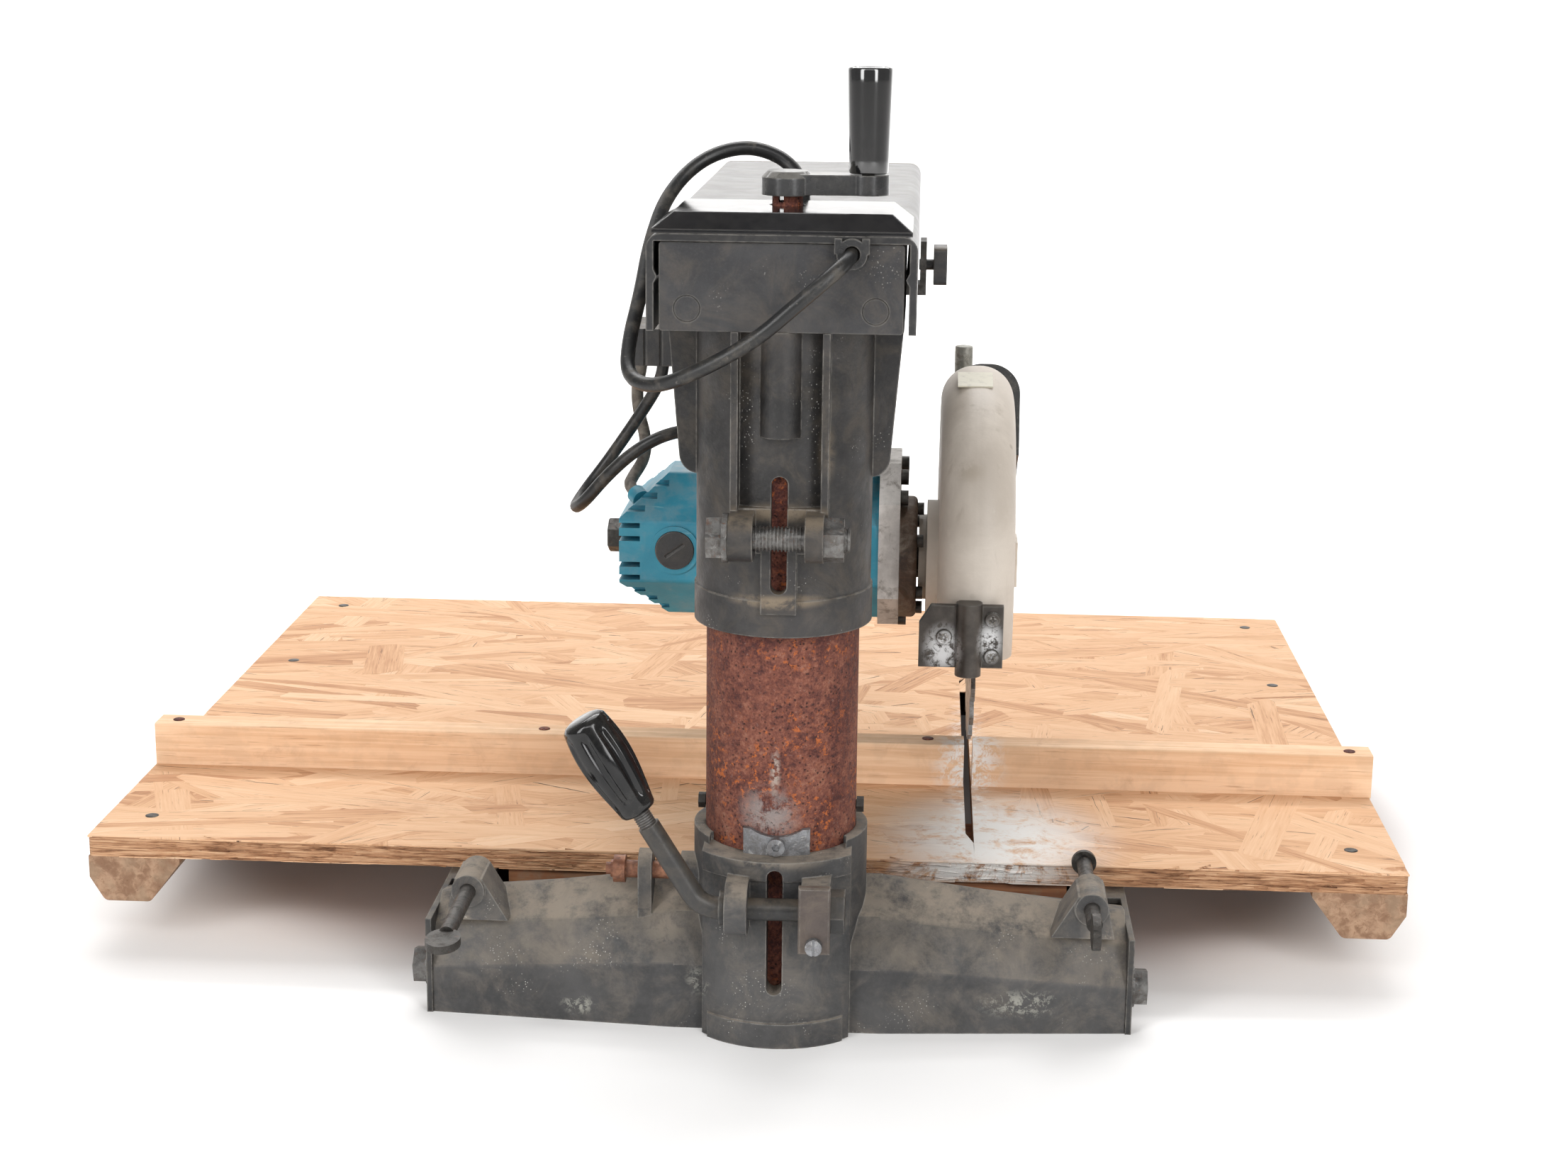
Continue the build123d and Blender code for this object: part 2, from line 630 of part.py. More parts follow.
roller_r = 13.8
roller_places = [(x, y) for x in (roller_x, -roller_x) for y in axle_y]
for number, (x, y) in enumerate(roller_places, start=1):
    with BuildPart() as roller:
        with BuildSketch(Plane.XZ.offset(-y)):
            with BuildLine():
                Polyline(
                    (x + 4.08, roller_z - 5.5),
                    (x + roller_r, roller_z - 5.5),
                    (x + roller_r, roller_z - 4),
                    (x + roller_r - 2, roller_z),
                    (x + roller_r, roller_z + 4),
                    (x + roller_r, roller_z + 5.5),
                    (x + 4.08, roller_z + 5.5),
                    close=True,
                )
            make_face()
        revolve(axis=Axis((x, y, 0), (0, 0, 1)))
    save(roller, f"roller_{number}")

with BuildPart() as carriage_lock_knob:
    bar_x((-72, -63.4), carriage_y + 19, 362, 3)
    block((-79, -71.5), (carriage_y + 8, carriage_y + 30), (351.5, 372.5))
    fillet(carriage_lock_knob.edges().filter_by(Axis.X).sort_by(SortBy.LENGTH)[-4:], radius=3)
save(carriage_lock_knob, "carriage_lock_knob")

# --- yoke -----------------------------------------------------------------------------
leg_in = (carriage_y + yoke_half_gap, carriage_y - yoke_half_gap)
leg_out = (carriage_y + yoke_half_gap + yoke_leg, carriage_y - yoke_half_gap - yoke_leg)
pivot_z = motor_z
with BuildPart() as yoke:
    block((-34, 34), (leg_out[1], leg_out[0]), (320, 332))
    bar_z(0, carriage_y, (332, 339.7), 29)
    for inner, outer in zip(leg_in, leg_out):
        y_low = min(inner, outer)
        with BuildSketch(Plane.XZ.offset(-y_low)):
            with BuildLine():
                Polyline((-32, 322), (-15, pivot_z), (15, pivot_z), (32, 322), close=True)
            make_face()
            with Locations((0, pivot_z)):
                Circle(17)
        extrude(amount=-yoke_leg)
        bar_y(0, (y_low - 1, y_low + yoke_leg + 1), pivot_z, 8.1, Mode.SUBTRACT)
    fillet(yoke.edges().filter_by(Axis.Y).group_by(Axis.Z)[-1], radius=4)
save(yoke, "yoke")

with BuildPart() as cable_box:
    block((34, 100), (carriage_y - 14, carriage_y + 36), (304, 325))
    fillet(cable_box.edges().filter_by(Axis.Y).group_by(Axis.Z)[-1].sort_by(Axis.X)[-1], radius=4)
    for groove_x in range(44, 98, 9):
        block((groove_x, groove_x + 1.6), (carriage_y + 35, carriage_y + 37), (303, 326), Mode.SUBTRACT)
    # gland on the yoke's rear leg for the looped lead
    bar_x((24, 34), leg_out[0] - 5, 266, 4.8)
save(cable_box, "cable_box")

handle_y = leg_out[1]
with BuildPart() as pull_handle:
    with BuildSketch(Plane.YZ.offset(-13)) as handle_shape:
        with Locations((handle_y - 37, 256)):
            Rectangle(74, 104)
        fillet(handle_shape.vertices().group_by(Axis.X)[0], radius=22)
        with Locations((handle_y - 34, 256)):
            RectangleRounded(40, 72, 12, mode=Mode.SUBTRACT)
    extrude(amount=26)
    fillet(pull_handle.faces().filter_by(Axis.X).edges().group_by(Axis.Y)[0:3], radius=4)
    block((-5, 5), (handle_y - 65, handle_y - 53), (249.6, 276.4), Mode.SUBTRACT)
save(pull_handle, "pull_handle")

with BuildPart() as trigger:
    block((-4.7, 4.7), (handle_y - 61, handle_y - 47), (250, 276))
    fillet(trigger.edges().filter_by(Axis.X).sort_by(Axis.Y)[-2:], radius=4)
save(trigger, "trigger")

with BuildPart() as swivel_lock_lever:
    lock_y = leg_out[1] + 12
    bar_z(0, lock_y, (332.2, 346), 8)
    block((-6, 6), (lock_y - 62, lock_y), (338, 345))
    with Locations((0, lock_y - 62, 341.5)):
        Sphere(8)
save(swivel_lock_lever, "swivel_lock_lever")

with BuildPart() as bevel_lock_lever:
    bar_y(0, (leg_out[0] + 0.3, leg_out[0] + 10), pivot_z, 11)
    block((-6, 6), (leg_out[0] + 2, leg_out[0] + 9), (pivot_z, pivot_z + 58))
    bar_y(0, (leg_out[0] + 2, leg_out[0] + 9), pivot_z + 58, 8)
save(bevel_lock_lever, "bevel_lock_lever")

# --- motor ----------------------------------------------------------------------------
case_joint = -44.0
case_end = -56.0
flange_end = -66.0
shell_wall = 4.0


def octagon(x, apothem, length, mode=Mode.ADD):
    """An eight-sided bar along X round the motor's axis."""
    prism(plane_x(x, motor_y, motor_z), 2 * apothem, length, sides=8, turn=22.5, mode=mode)


with BuildPart() as motor_housing:
    octagon(case_joint, motor_apothem, cap_joint - case_joint)
    fillet(motor_housing.edges().filter_by(Axis.X), radius=4)
    octagon(case_joint - 1, motor_apothem - shell_wall, cap_joint - case_joint + 2, Mode.SUBTRACT)
    # pivot bosses carried by the yoke
    for side in (1, -1):
        ends = sorted((motor_y + side * (motor_apothem - 2), carriage_y + side * (yoke_half_gap + 9)))
        bar_y(0, ends, pivot_z, 8)
    # raised name panel, left blank
    slant = Plane(
        origin=(18, motor_y + 36, motor_z + 30),
        x_dir=(1, 0, 0),
        z_dir=(0, cos(pi / 4), sin(pi / 4)),
    )
    with BuildSketch(slant.offset(-9)):
        RectangleRounded(74, 26, 5)
    extrude(amount=5.2)
    octagon(case_joint - 1, motor_apothem - shell_wall, cap_joint - case_joint + 2, Mode.SUBTRACT)
save(motor_housing, "motor_housing")

brush_x = 72.5
lead_end = Vector(97.7, -208.5, 226.6)
lead_way = Vector(-4.8, 6.5, -2.9).normalized()
vent_pitch = 7.6
with BuildPart() as motor_end_cap:
    octagon(cap_joint, motor_apothem, motor_end - cap_joint)
    fillet(motor_end_cap.edges().filter_by(Axis.X), radius=4)
    with BuildSketch(Plane.XZ.offset(-motor_y)):
        with BuildLine():
            Polyline(
                (cap_joint, motor_z - 42),
                (78, motor_z - 42),
                (89, motor_z - 32),
                (motor_end, motor_z - 19),
                (motor_end, motor_z + 19),
                (89, motor_z + 32),
                (78, motor_z + 42),
                (cap_joint, motor_z + 42),
                close=True,
            )
        make_face()
    extrude(amount=50, both=True, mode=Mode.INTERSECT)
    octagon(cap_joint - 1, motor_apothem - shell_wall, 20, Mode.SUBTRACT)
    bar_x((76, motor_end - 4), motor_y, motor_z, 15, Mode.SUBTRACT)
    bar_x((76, 93), motor_y, motor_z, 24, Mode.SUBTRACT)
    # brush bosses front and back
    for side in (1, -1):
        ends = sorted((motor_y + side * 24, motor_y + side * (motor_apothem + 1.2)))
        bar_y(brush_x, ends, motor_z + 1.5, 14)
        hole = sorted((motor_y + side * 36, motor_y + side * (motor_apothem + 3)))
        bar_y(brush_x, hole, motor_z + 1.5, 11.2, Mode.SUBTRACT)
        # level cooling slots beside each boss
        for row in (-2, -1, 1, 2):
            slot_z = motor_z + row * vent_pitch
            slot_y = sorted((motor_y + side * 30, motor_y + side * 44))
            block((92.5, motor_end + 1), slot_y, (slot_z - 1.5, slot_z + 1.5), Mode.SUBTRACT)
    bar_x((cap_joint - 1, 76), motor_y, motor_z, 22, Mode.SUBTRACT)
    bar_x((70, motor_end + 1), motor_y, motor_z, 8.6, Mode.SUBTRACT)
    bar_x((cap_joint + 20, motor_end - 12), motor_y, motor_z, 11.2, Mode.SUBTRACT)
    # sloping cooling slots on the upper and lower slants
    for up in (1, -1):
        for step in range(3):
            slot_x = 77.5 + 6.3 * step
            slot_z = motor_z + up * (36.4 - 6.3 * step)
            slot_height = (slot_z - 1.6, slot_z + 1.6)
            for side in (1, -1):
                slot_y = sorted((motor_y + side * (18 + 6.3 * step), motor_y + side * 48))
                block((slot_x, slot_x + 12), slot_y, slot_height, Mode.SUBTRACT)
    # boss that takes the motor's lead
    extrude(disc(Plane(origin=lead_end + lead_way * 0.3, z_dir=lead_way), 5.4), amount=7)
save(motor_end_cap, "motor_end_cap")

with BuildPart() as brush_caps:
    for side in (1, -1):
        ends = sorted((motor_y + side * 36.2, motor_y + side * (motor_apothem + 2.2)))
        bar_y(brush_x, ends, motor_z + 1.5, 11)
        with Locations(Location((brush_x, motor_y + side * (motor_apothem + 2.2), motor_z + 1.5), (0, 35, 0))):
            Box(13, 1.6, 1.5, mode=Mode.SUBTRACT)
save(brush_caps, "brush_caps")

with BuildPart() as gear_case:
    with BuildSketch(plane_x(case_end, 0, 0)) as case_shape:
        with Locations((motor_y, motor_z + 3.5)):
            Rectangle(88, 95)
        chamfer(case_shape.vertices(), length=20)
    extrude(amount=case_joint - case_end)
    # gear chamber, with a wall at each end that carries the shafts
    chamber = (case_end + 2.5, case_joint - 1.5)
    bar_x(chamber, arbor_y, arbor_z, 18.5, Mode.SUBTRACT)
    bar_x(chamber, motor_y, motor_z, 6.5, Mode.SUBTRACT)
    bar_x((case_end - 1, chamber[0] + 1), arbor_y, arbor_z, 8.06, Mode.SUBTRACT)
    bar_x((chamber[1] - 1, case_joint + 1), motor_y, motor_z, 5.06, Mode.SUBTRACT)
save(gear_case, "gear_case")

with BuildPart() as gear_case_screws:
    for y, z in ((-205, 240), (-190, 231), (-246, 240), (-246, 163), (-205, 157)):
        bar_x((case_end - 4.5, case_end), y, z, 4.4)
        prism(plane_x(case_end - 4.5, y, z), 4.5, 2.4, mode=Mode.SUBTRACT)
    for turn in (30, 78, 150, 210, 270, 330):
        y = arbor_y + 30.2 * cos(turn * pi / 180)
        z = arbor_z + 30.2 * sin(turn * pi / 180)
        bar_x((flange_end - 3.6, flange_end), y, z, 3.6)
save(gear_case_screws, "gear_case_screws")

with BuildPart() as spindle_flange:
    bar_x((flange_end, case_end), arbor_y, arbor_z, 35)
    fillet(spindle_flange.edges().filter_by(GeomType.CIRCLE).group_by(Axis.X)[0], radius=3)
    bar_x((flange_end - 1, case_end + 1), arbor_y, arbor_z, 8.06, Mode.SUBTRACT)
    for y, z in ((-205, 240), (-190, 231), (-205, 157)):
        bar_x((case_end - 4.8, case_end + 1), y, z, 4.8, Mode.SUBTRACT)
save(spindle_flange, "spindle_flange")

# --- armature and accessory end -------------------------------------------------------
def toothed(plane, teeth, root, tip, width):
    """A gear blank with straight-sided teeth that leave room for each other."""
    outline = []
    for tooth in range(teeth):
        for part, radius in ((0.0, root), (0.36, root), (0.48, tip), (0.60, tip), (0.72, root)):
            turn = (tooth + part) * 2 * pi / teeth
            outline.append((radius * cos(turn), radius * sin(turn)))
    with BuildSketch(plane) as blank:
        with BuildLine():
            Polyline(*outline, close=True)
        make_face()
    extrude(blank.sketch, amount=width)


gear_start = case_end + 3.5
gear_width = 6.0
pinion_turn = 5.4

with BuildPart() as armature:
    # shaft, laminated core and commutator
    bar_x((gear_start + gear_width, motor_end + 3), motor_y, motor_z, 5)
    bar_x((-10, 42), motor_y, motor_z, 30)
    bar_x((58, 74), motor_y, motor_z, 10.8)
    # cooling fan
    bar_x((-34, -31), motor_y, motor_z, 34)
    for blade_no in range(12):
        turn = blade_no * pi / 6
        outward = (0, cos(turn), sin(turn))
        with BuildSketch(Plane(origin=(-32, motor_y, motor_z), x_dir=outward, z_dir=(1, 0, 0))):
            with Locations((23, 0)):
                Rectangle(20, 1.6)
        extrude(amount=11)
    # pinion on the drive end, hexagon on the accessory end
    pinion_plane = plane_x(gear_start, motor_y, motor_z).rotated((0, 0, pinion_turn))
    toothed(pinion_plane, 8, 3.0, 4.6, gear_width + 0.5)
    prism(plane_x(motor_end + 2, motor_y, motor_z), 17.5, 9, turn=30)
    chamfer(armature.faces().sort_by(Axis.X)[-1].edges(), length=0.9)
save(armature, "armature")

# --- spindle and blade ----------------------------------------------------------------
blade_half = 1.2
with BuildPart() as spindle:
    bar_x((-112, gear_start + gear_width), arbor_y, arbor_z, 8)
    toothed(plane_x(gear_start, arbor_y, arbor_z), 34, 15.2, 17.0, gear_width)
save(spindle, "spindle")

nut_face = kerf_x - blade_half - 5
with BuildPart() as blade_clamp:
    bar_x((kerf_x + blade_half, kerf_x + blade_half + 7), arbor_y, arbor_z, 20)
    bar_x((nut_face, kerf_x - blade_half), arbor_y, arbor_z, 20)
    prism(plane_x(-113, arbor_y, arbor_z), 24, nut_face + 113)
    bar_x((-112, -84), arbor_y, arbor_z, 8, Mode.SUBTRACT)
save(blade_clamp, "blade_clamp")

blade_teeth = 24
with BuildPart() as saw_blade:
    with BuildSketch(plane_x(kerf_x - blade_half, arbor_y, arbor_z)):
        with BuildLine():
            blade_points = []
            for tooth in range(blade_teeth):
                for part, radius in ((0.0, blade_r), (0.10, blade_r - 10), (0.42, blade_r - 8), (0.55, blade_r - 1.2)):
                    turn = (tooth + part) * 2 * pi / blade_teeth
                    blade_points.append((radius * cos(turn), radius * sin(turn)))
            Polyline(*blade_points, close=True)
        make_face()
        Circle(8, mode=Mode.SUBTRACT)
        for slot in range(4):
            turn = slot * pi / 2 + 0.3
            with Locations((66 * cos(turn), 66 * sin(turn))):
                Circle(3, mode=Mode.SUBTRACT)
    extrude(amount=2 * blade_half)
save(saw_blade, "saw_blade")

# --- blade guard ----------------------------------------------------------------------
def drum(x, r, corner, mode=Mode.ADD):
    """A disc about the arbor between two ends in x, with rounded rims."""
    blank = Solid.make_cylinder(r, x[1] - x[0], plane_x(x[0], arbor_y, arbor_z))
    add(blank.fillet(corner, blank.edges().filter_by(GeomType.CIRCLE)), mode=mode)


def sector(first, last, reach, mode=Mode.INTERSECT):
    """Keep only the wedge about the arbor between two angles from +Y towards +Z."""
    steps = 6
    turns = [(first + (last - first) * n / steps) * pi / 180 for n in range(steps + 1)]
    outline = [(0, 0)] + [(reach * cos(t), reach * sin(t)) for t in turns]
    with BuildSketch(plane_x(-140, arbor_y, arbor_z)) as wedge:
        with BuildLine():
            Polyline(*outline, close=True)
        make_face()
    extrude(wedge.sketch, amount=80, mode=mode)


rod_x = -92.0
rod_y = -323.0

with BuildPart() as guard_shell:
    drum((guard_out, guard_in), guard_r, guard_round)
    # mounting ring on the motor side, and the nose that holds the kickback rod
    bar_x((guard_in - 1, -71.5), arbor_y, arbor_z, 33)
    bar_x((guard_in - 1, -67), arbor_y, arbor_z, 24.5)
    block((rod_x - 12, rod_x + 12), (rod_y, arbor_y - 100), (196, 222))
    bar_z(rod_x, rod_y, (196, 222), 12)
    # spindle cover on the outer side
    block((guard_out - 4.5, guard_out + 1), (arbor_y - 12, arbor_y + 12), (arbor_z - 14, arbor_z + 12))
    block((guard_out - 3, guard_out + 1), (arbor_y - 6, arbor_y + 6), (arbor_z + 11, arbor_z + 20))
    bar_x((guard_out - 2.2, guard_out + 1), arbor_y, arbor_z + 42, 4)
    drum((guard_out + guard_wall, guard_in - guard_wall), guard_r - guard_wall, guard_round - guard_wall, Mode.SUBTRACT)
    bar_x((guard_in - 4, -60), arbor_y, arbor_z, 14, Mode.SUBTRACT)
    bar_z(rod_x, rod_y, (190, 230), 5.56, Mode.SUBTRACT)
    # the mouth: level behind the spindle and a little higher in front of it
    mouth = (guard_out - 6, guard_in + 12)
    block(mouth, (arbor_y - 125, arbor_y + 125), (arbor_z - 125, 160), Mode.SUBTRACT)
    block(mouth, (arbor_y - 100, arbor_y - 36), (150, 176), Mode.SUBTRACT)
save(guard_shell, "guard_shell")

with BuildPart() as dust_deflector:
    drum((guard_out - 4.6, guard_in - 6), guard_r + 2.6, 17.5)
    drum((guard_out - 0.15, guard_in + 0.15), guard_r + 0.1, guard_round + 0.1, Mode.SUBTRACT)
    bar_x((guard_out - 6, guard_in), arbor_y, arbor_z, 60, Mode.SUBTRACT)
    sector(108, 150, 130)
save(dust_deflector, "dust_deflector")

bracket_x = (-113.0, -68.0)
boss_x = -94.6
with BuildPart() as guard_bracket:
    block(bracket_x, (-108, -89.5), (160, 194))
    bar_z(boss_x, -89.5, (156, 196), 7)
    with BuildSketch(Plane.XZ.offset(80)):
        with BuildLine():
            Polyline((-68, 184), (-68, 200), (-78, 200), close=True)
        make_face()
    extrude(amount=40, mode=Mode.SUBTRACT)
    with BuildSketch(plane_x(-120, arbor_y, arbor_z)):
        Circle(guard_r)
    extrude(amount=60, mode=Mode.SUBTRACT)
    # three cross-head screws
    for x, z in ((-81.5, 177), (-107.1, 187), (-107.1, 166.5)):
        bar_y(x, (-91, -87), z, 3.9)
        for turn in (20, 110):
            with Locations(Location((x, -87, z), (0, turn, 0))):
                Box(4.4, 1.6, 1.1, mode=Mode.SUBTRACT)
save(guard_bracket, "guard_bracket")

with BuildPart() as kickback_rod:
    bar_z(rod_x, rod_y, (148, 299), 5.5)
    chamfer(kickback_rod.edges().filter_by(GeomType.CIRCLE), length=0.6)
    block((-96, -88), (-331, -322), (148, 156))
    block((-99, -85), (-345, -328.4), (149, 155))
save(kickback_rod, "kickback_rod")

# --- leads ----------------------------------------------------------------------------
supply_route = [
    (clip_x, 50, 396),
    (-31.5, 58.5, 394),
    (-24, 65.5, 387.5),
    (-8, 69.5, 374),
    (10, 69.5, 358),
    (34, 65, 343.5),
    (58, 56, 332.5),
    (73, 42, 335),
    (74, 24, 350),
    (70.5, 3, 370),
    (69, -22, 391),
    (63, -46, 413),
    (47, -60, 430),
    (26, -65, 436.5),
    (8, -65.5, 432),
    (-2, -62, 423),
    (-5, -58, 413),
    (-5, -58, 404),
]
loop_route = [
    (80.5, -200, 304),
    (81.5, -200.5, 296),
    (87, -204, 285),
    (98, -208, 268),
    (113, -208, 246),
    (126, -201, 229),
    (131, -187, 221),
    (123, -173, 228),
    (109, -167.5, 245),
    (93, -165, 260),
    (75, -166, 270),
    (57, -172, 271.5),
    (44, -174, 267),
    (34, -174, 266),
]
motor_route = [
    (96, -230, 304),
    (96.4, -230.3, 297),
    (99.5, -233, 285),
    (99, -236, 270),
    (94.5, -236, 254),
    (95, -233, 242),
    (101, -224, 233),
    (102.5, -215, 229.5),
    lead_end,
]


def lead(points, name):
    """A round lead along straight runs joined by the largest arcs that they allow."""
    route = [Vector(*point) for point in points]
    radii = []
    for before, here, after in zip(route, route[1:], route[2:]):
        turn = (here - before).get_angle(after - here) * pi / 180
        radii.append(0.45 * min((here - before).length, (after - here).length) / tan(turn / 2))
    with BuildLine(mode=Mode.PRIVATE) as path:
        FilletPolyline(*route, radius=radii)
    line = path.wires()[0]
    tube = sweep(disc(Plane(origin=line @ 0, z_dir=line % 0), lead_r), path=line)
    print(name, "length %.0f mm," % line.length, "radii", [round(r) for r in radii])
    print("  volume ratio %.4f" % (tube.volume / (pi * lead_r**2 * line.length)))


with BuildPart() as supply_lead:
    lead(supply_route, "supply_lead")
save(supply_lead, "supply_lead")

with BuildPart() as motor_loop_lead:
    lead(loop_route, "motor_loop_lead")
save(motor_loop_lead, "motor_loop_lead")

with BuildPart() as motor_lead:
    lead(motor_route, "motor_lead")
save(motor_lead, "motor_lead")
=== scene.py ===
from math import cos, pi, radians, sin
from random import Random

import bmesh
import bpy
from mathutils import Matrix, Vector


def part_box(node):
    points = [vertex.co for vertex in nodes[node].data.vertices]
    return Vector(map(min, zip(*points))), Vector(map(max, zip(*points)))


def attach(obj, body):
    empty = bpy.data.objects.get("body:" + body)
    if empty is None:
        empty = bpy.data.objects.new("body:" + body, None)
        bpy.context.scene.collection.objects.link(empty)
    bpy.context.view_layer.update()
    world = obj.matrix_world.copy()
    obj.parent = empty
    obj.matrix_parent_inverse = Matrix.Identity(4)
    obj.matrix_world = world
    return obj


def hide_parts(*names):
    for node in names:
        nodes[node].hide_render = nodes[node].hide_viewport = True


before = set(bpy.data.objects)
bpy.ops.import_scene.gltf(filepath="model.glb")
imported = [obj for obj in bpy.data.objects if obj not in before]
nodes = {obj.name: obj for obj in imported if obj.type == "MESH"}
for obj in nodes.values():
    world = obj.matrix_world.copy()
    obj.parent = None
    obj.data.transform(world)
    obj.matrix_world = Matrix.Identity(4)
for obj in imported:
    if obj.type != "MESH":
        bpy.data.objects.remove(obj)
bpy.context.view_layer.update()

MM = 0.001


# --- camera -----------------------------------------------------------------------------
def make_camera():
    """The view from behind the column, a little above the table, turned three degrees."""
    yaw, pitch, roll = radians(3.061), radians(14.019), radians(0.631)
    level_ahead = Vector((sin(yaw), -cos(yaw), 0))
    level_right = Vector((-cos(yaw), -sin(yaw), 0))
    up = Vector((0, 0, 1))
    ahead = level_ahead * cos(pitch) - up * sin(pitch)
    above = up * cos(pitch) + level_ahead * sin(pitch)
    right = level_right * cos(roll) + above * sin(roll)
    above = above * cos(roll) - level_right * sin(roll)
    data = bpy.data.cameras.new("camera")
    data.sensor_width = 36
    data.lens = 57.48
    data.clip_end = 50
    camera = bpy.data.objects.new("camera", data)
    turn = Matrix((right, above, -ahead)).transposed().to_4x4()
    camera.matrix_world = Matrix.Translation(Vector((-0.0648, 1.2067, 0.5257))) @ turn
    bpy.context.scene.collection.objects.link(camera)
    bpy.context.scene.camera = camera


make_camera()


# --- small tools ------------------------------------------------------------------------
def link(obj):
    bpy.context.scene.collection.objects.link(obj)
    return obj


def mesh_piece(name, verts, faces, body, material, smooth=False):
    """A mesh object from vertices in millimetres, riding on a body."""
    mesh = bpy.data.meshes.new(name)
    mesh.from_pydata([Vector(v) * MM for v in verts], [], faces)
    mesh.validate()
    if smooth:
        mesh.shade_smooth()
    piece = link(bpy.data.objects.new(name, mesh))
    mesh.materials.append(material)
    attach(piece, body)
    return piece


def shade(node, material):
    """Give a CAD node's object a material in every slot."""
    obj = nodes[node]
    if not obj.material_slots:
        obj.data.materials.append(None)
    for slot in obj.material_slots:
        slot.link = "OBJECT"
        slot.material = material


class Shader:
    """A material's node tree, built with short calls. Lengths are in metres."""

    def __init__(self, name):
        self.material = bpy.data.materials.new(name)
        self.material.use_nodes = True
        self.tree = self.material.node_tree
        self.tree.nodes.clear()
        self.bsdf = self.tree.nodes.new("ShaderNodeBsdfPrincipled")
        output = self.tree.nodes.new("ShaderNodeOutputMaterial")
        self.tree.links.new(self.bsdf.outputs[0], output.inputs["Surface"])
        coords = self.tree.nodes.new("ShaderNodeTexCoord")
        self.point = coords.outputs["Object"]
        self.facing = coords.outputs["Normal"]

    def put(self, socket, value):
        if isinstance(value, bpy.types.NodeSocket):
            self.tree.links.new(value, socket)
        elif isinstance(value, (tuple, list)) and len(value) == 3 and len(socket.default_value) == 4:
            socket.default_value = (*value, 1)
        else:
            socket.default_value = value

    def set(self, **values):
        for name, value in values.items():
            self.put(self.bsdf.inputs[name.replace("_", " ")], value)

    def noise(self, scale, detail=4, rough=0.6, warp=0.0, at=None):
        node = self.tree.nodes.new("ShaderNodeTexNoise")
        self.put(node.inputs["Vector"], at or self.point)
        self.put(node.inputs["Scale"], scale)
        self.put(node.inputs["Detail"], detail)
        self.put(node.inputs["Roughness"], rough)
        self.put(node.inputs["Distortion"], warp)
        return node.outputs["Fac"]

    def cells(self, scale):
        """The distance to the nearest of many scattered points."""
        node = self.tree.nodes.new("ShaderNodeTexVoronoi")
        self.put(node.inputs["Vector"], self.point)
        self.put(node.inputs["Scale"], scale)
        return node.outputs["Distance"]

    def stretch(self, scale, turn=(0, 0, 0), at=None, shift=(0, 0, 0)):
        node = self.tree.nodes.new("ShaderNodeMapping")
        self.put(node.inputs["Vector"], at or self.point)
        self.put(node.inputs["Location"], shift)
        self.put(node.inputs["Rotation"], turn)
        self.put(node.inputs["Scale"], scale)
        return node.outputs[0]

    def math(self, how, first, second=0.5, clamp=False):
        node = self.tree.nodes.new("ShaderNodeMath")
        node.operation = how
        node.use_clamp = clamp
        self.put(node.inputs[0], first)
        self.put(node.inputs[1], second)
        return node.outputs[0]

    def window(self, value, low, high, to=(0, 1)):
        """Map value from low..high to a smooth 0..1, or to the other range given."""
        node = self.tree.nodes.new("ShaderNodeMapRange")
        node.interpolation_type = "SMOOTHSTEP"
        for name, number in (("From Min", low), ("From Max", high), ("To Min", to[0]), ("To Max", to[1])):
            self.put(node.inputs[name], number)
        self.put(node.inputs["Value"], value)
        return node.outputs[0]

    def times(self, *values):
        total = values[0]
        for value in values[1:]:
            total = self.math("MULTIPLY", total, value)
        return total

    def mix(self, amount, first, second):
        node = self.tree.nodes.new("ShaderNodeMix")
        node.data_type = "RGBA"
        self.put(node.inputs[0], amount)
        self.put(node.inputs[6], first)
        self.put(node.inputs[7], second)
        return node.outputs[2]

    def ramp(self, value, *stops):
        node = self.tree.nodes.new("ShaderNodeValToRGB")
        line = node.color_ramp.elements
        while len(line) < len(stops):
            line.new(0.5)
        for mark, (place, colour) in zip(line, stops):
            mark.position = place
            mark.color = (*colour, 1)
        self.put(node.inputs[0], value)
        return node.outputs[0]

    def part(self, vector, axis):
        node = self.tree.nodes.new("ShaderNodeSeparateXYZ")
        self.put(node.inputs[0], vector)
        return node.outputs[axis]

    def near(self, centre, reach):
        """1 at a point in the frame, in millimetres, fading to 0 at the three reaches from it."""
        scale = [1000 / r for r in reach]
        shifted = self.stretch(scale, shift=[-c / r for c, r in zip(centre, reach)])
        node = self.tree.nodes.new("ShaderNodeVectorMath")
        node.operation = "LENGTH"
        self.put(node.inputs[0], shifted)
        return self.window(node.outputs["Value"], 1.0, 0.2)

    def rounded(self, radius):
        """The surface normal with sharp edges rounded over, and a mask that is 1 along those edges."""
        node = self.tree.nodes.new("ShaderNodeBevel")
        node.samples = 6
        self.put(node.inputs["Radius"], radius)
        plain = self.tree.nodes.new("ShaderNodeNewGeometry").outputs["Normal"]
        turn = self.tree.nodes.new("ShaderNodeVectorMath")
        turn.operation = "DOT_PRODUCT"
        self.put(turn.inputs[0], node.outputs[0])
        self.put(turn.inputs[1], plain)
        return node.outputs[0], self.window(turn.outputs["Value"], 0.995, 0.9)

    def bump(self, height, depth, strength=1.0, under=None):
        node = self.tree.nodes.new("ShaderNodeBump")
        self.put(node.inputs["Strength"], strength)
        self.put(node.inputs["Distance"], depth)
        self.put(node.inputs["Height"], height)
        if under is not None:
            self.put(node.inputs["Normal"], under)
        return node.outputs[0]


def upward(s, low=0.15, high=0.9):
    """How far a surface faces up, in the object's own frame."""
    return s.window(s.part(s.facing, 2), low, high)


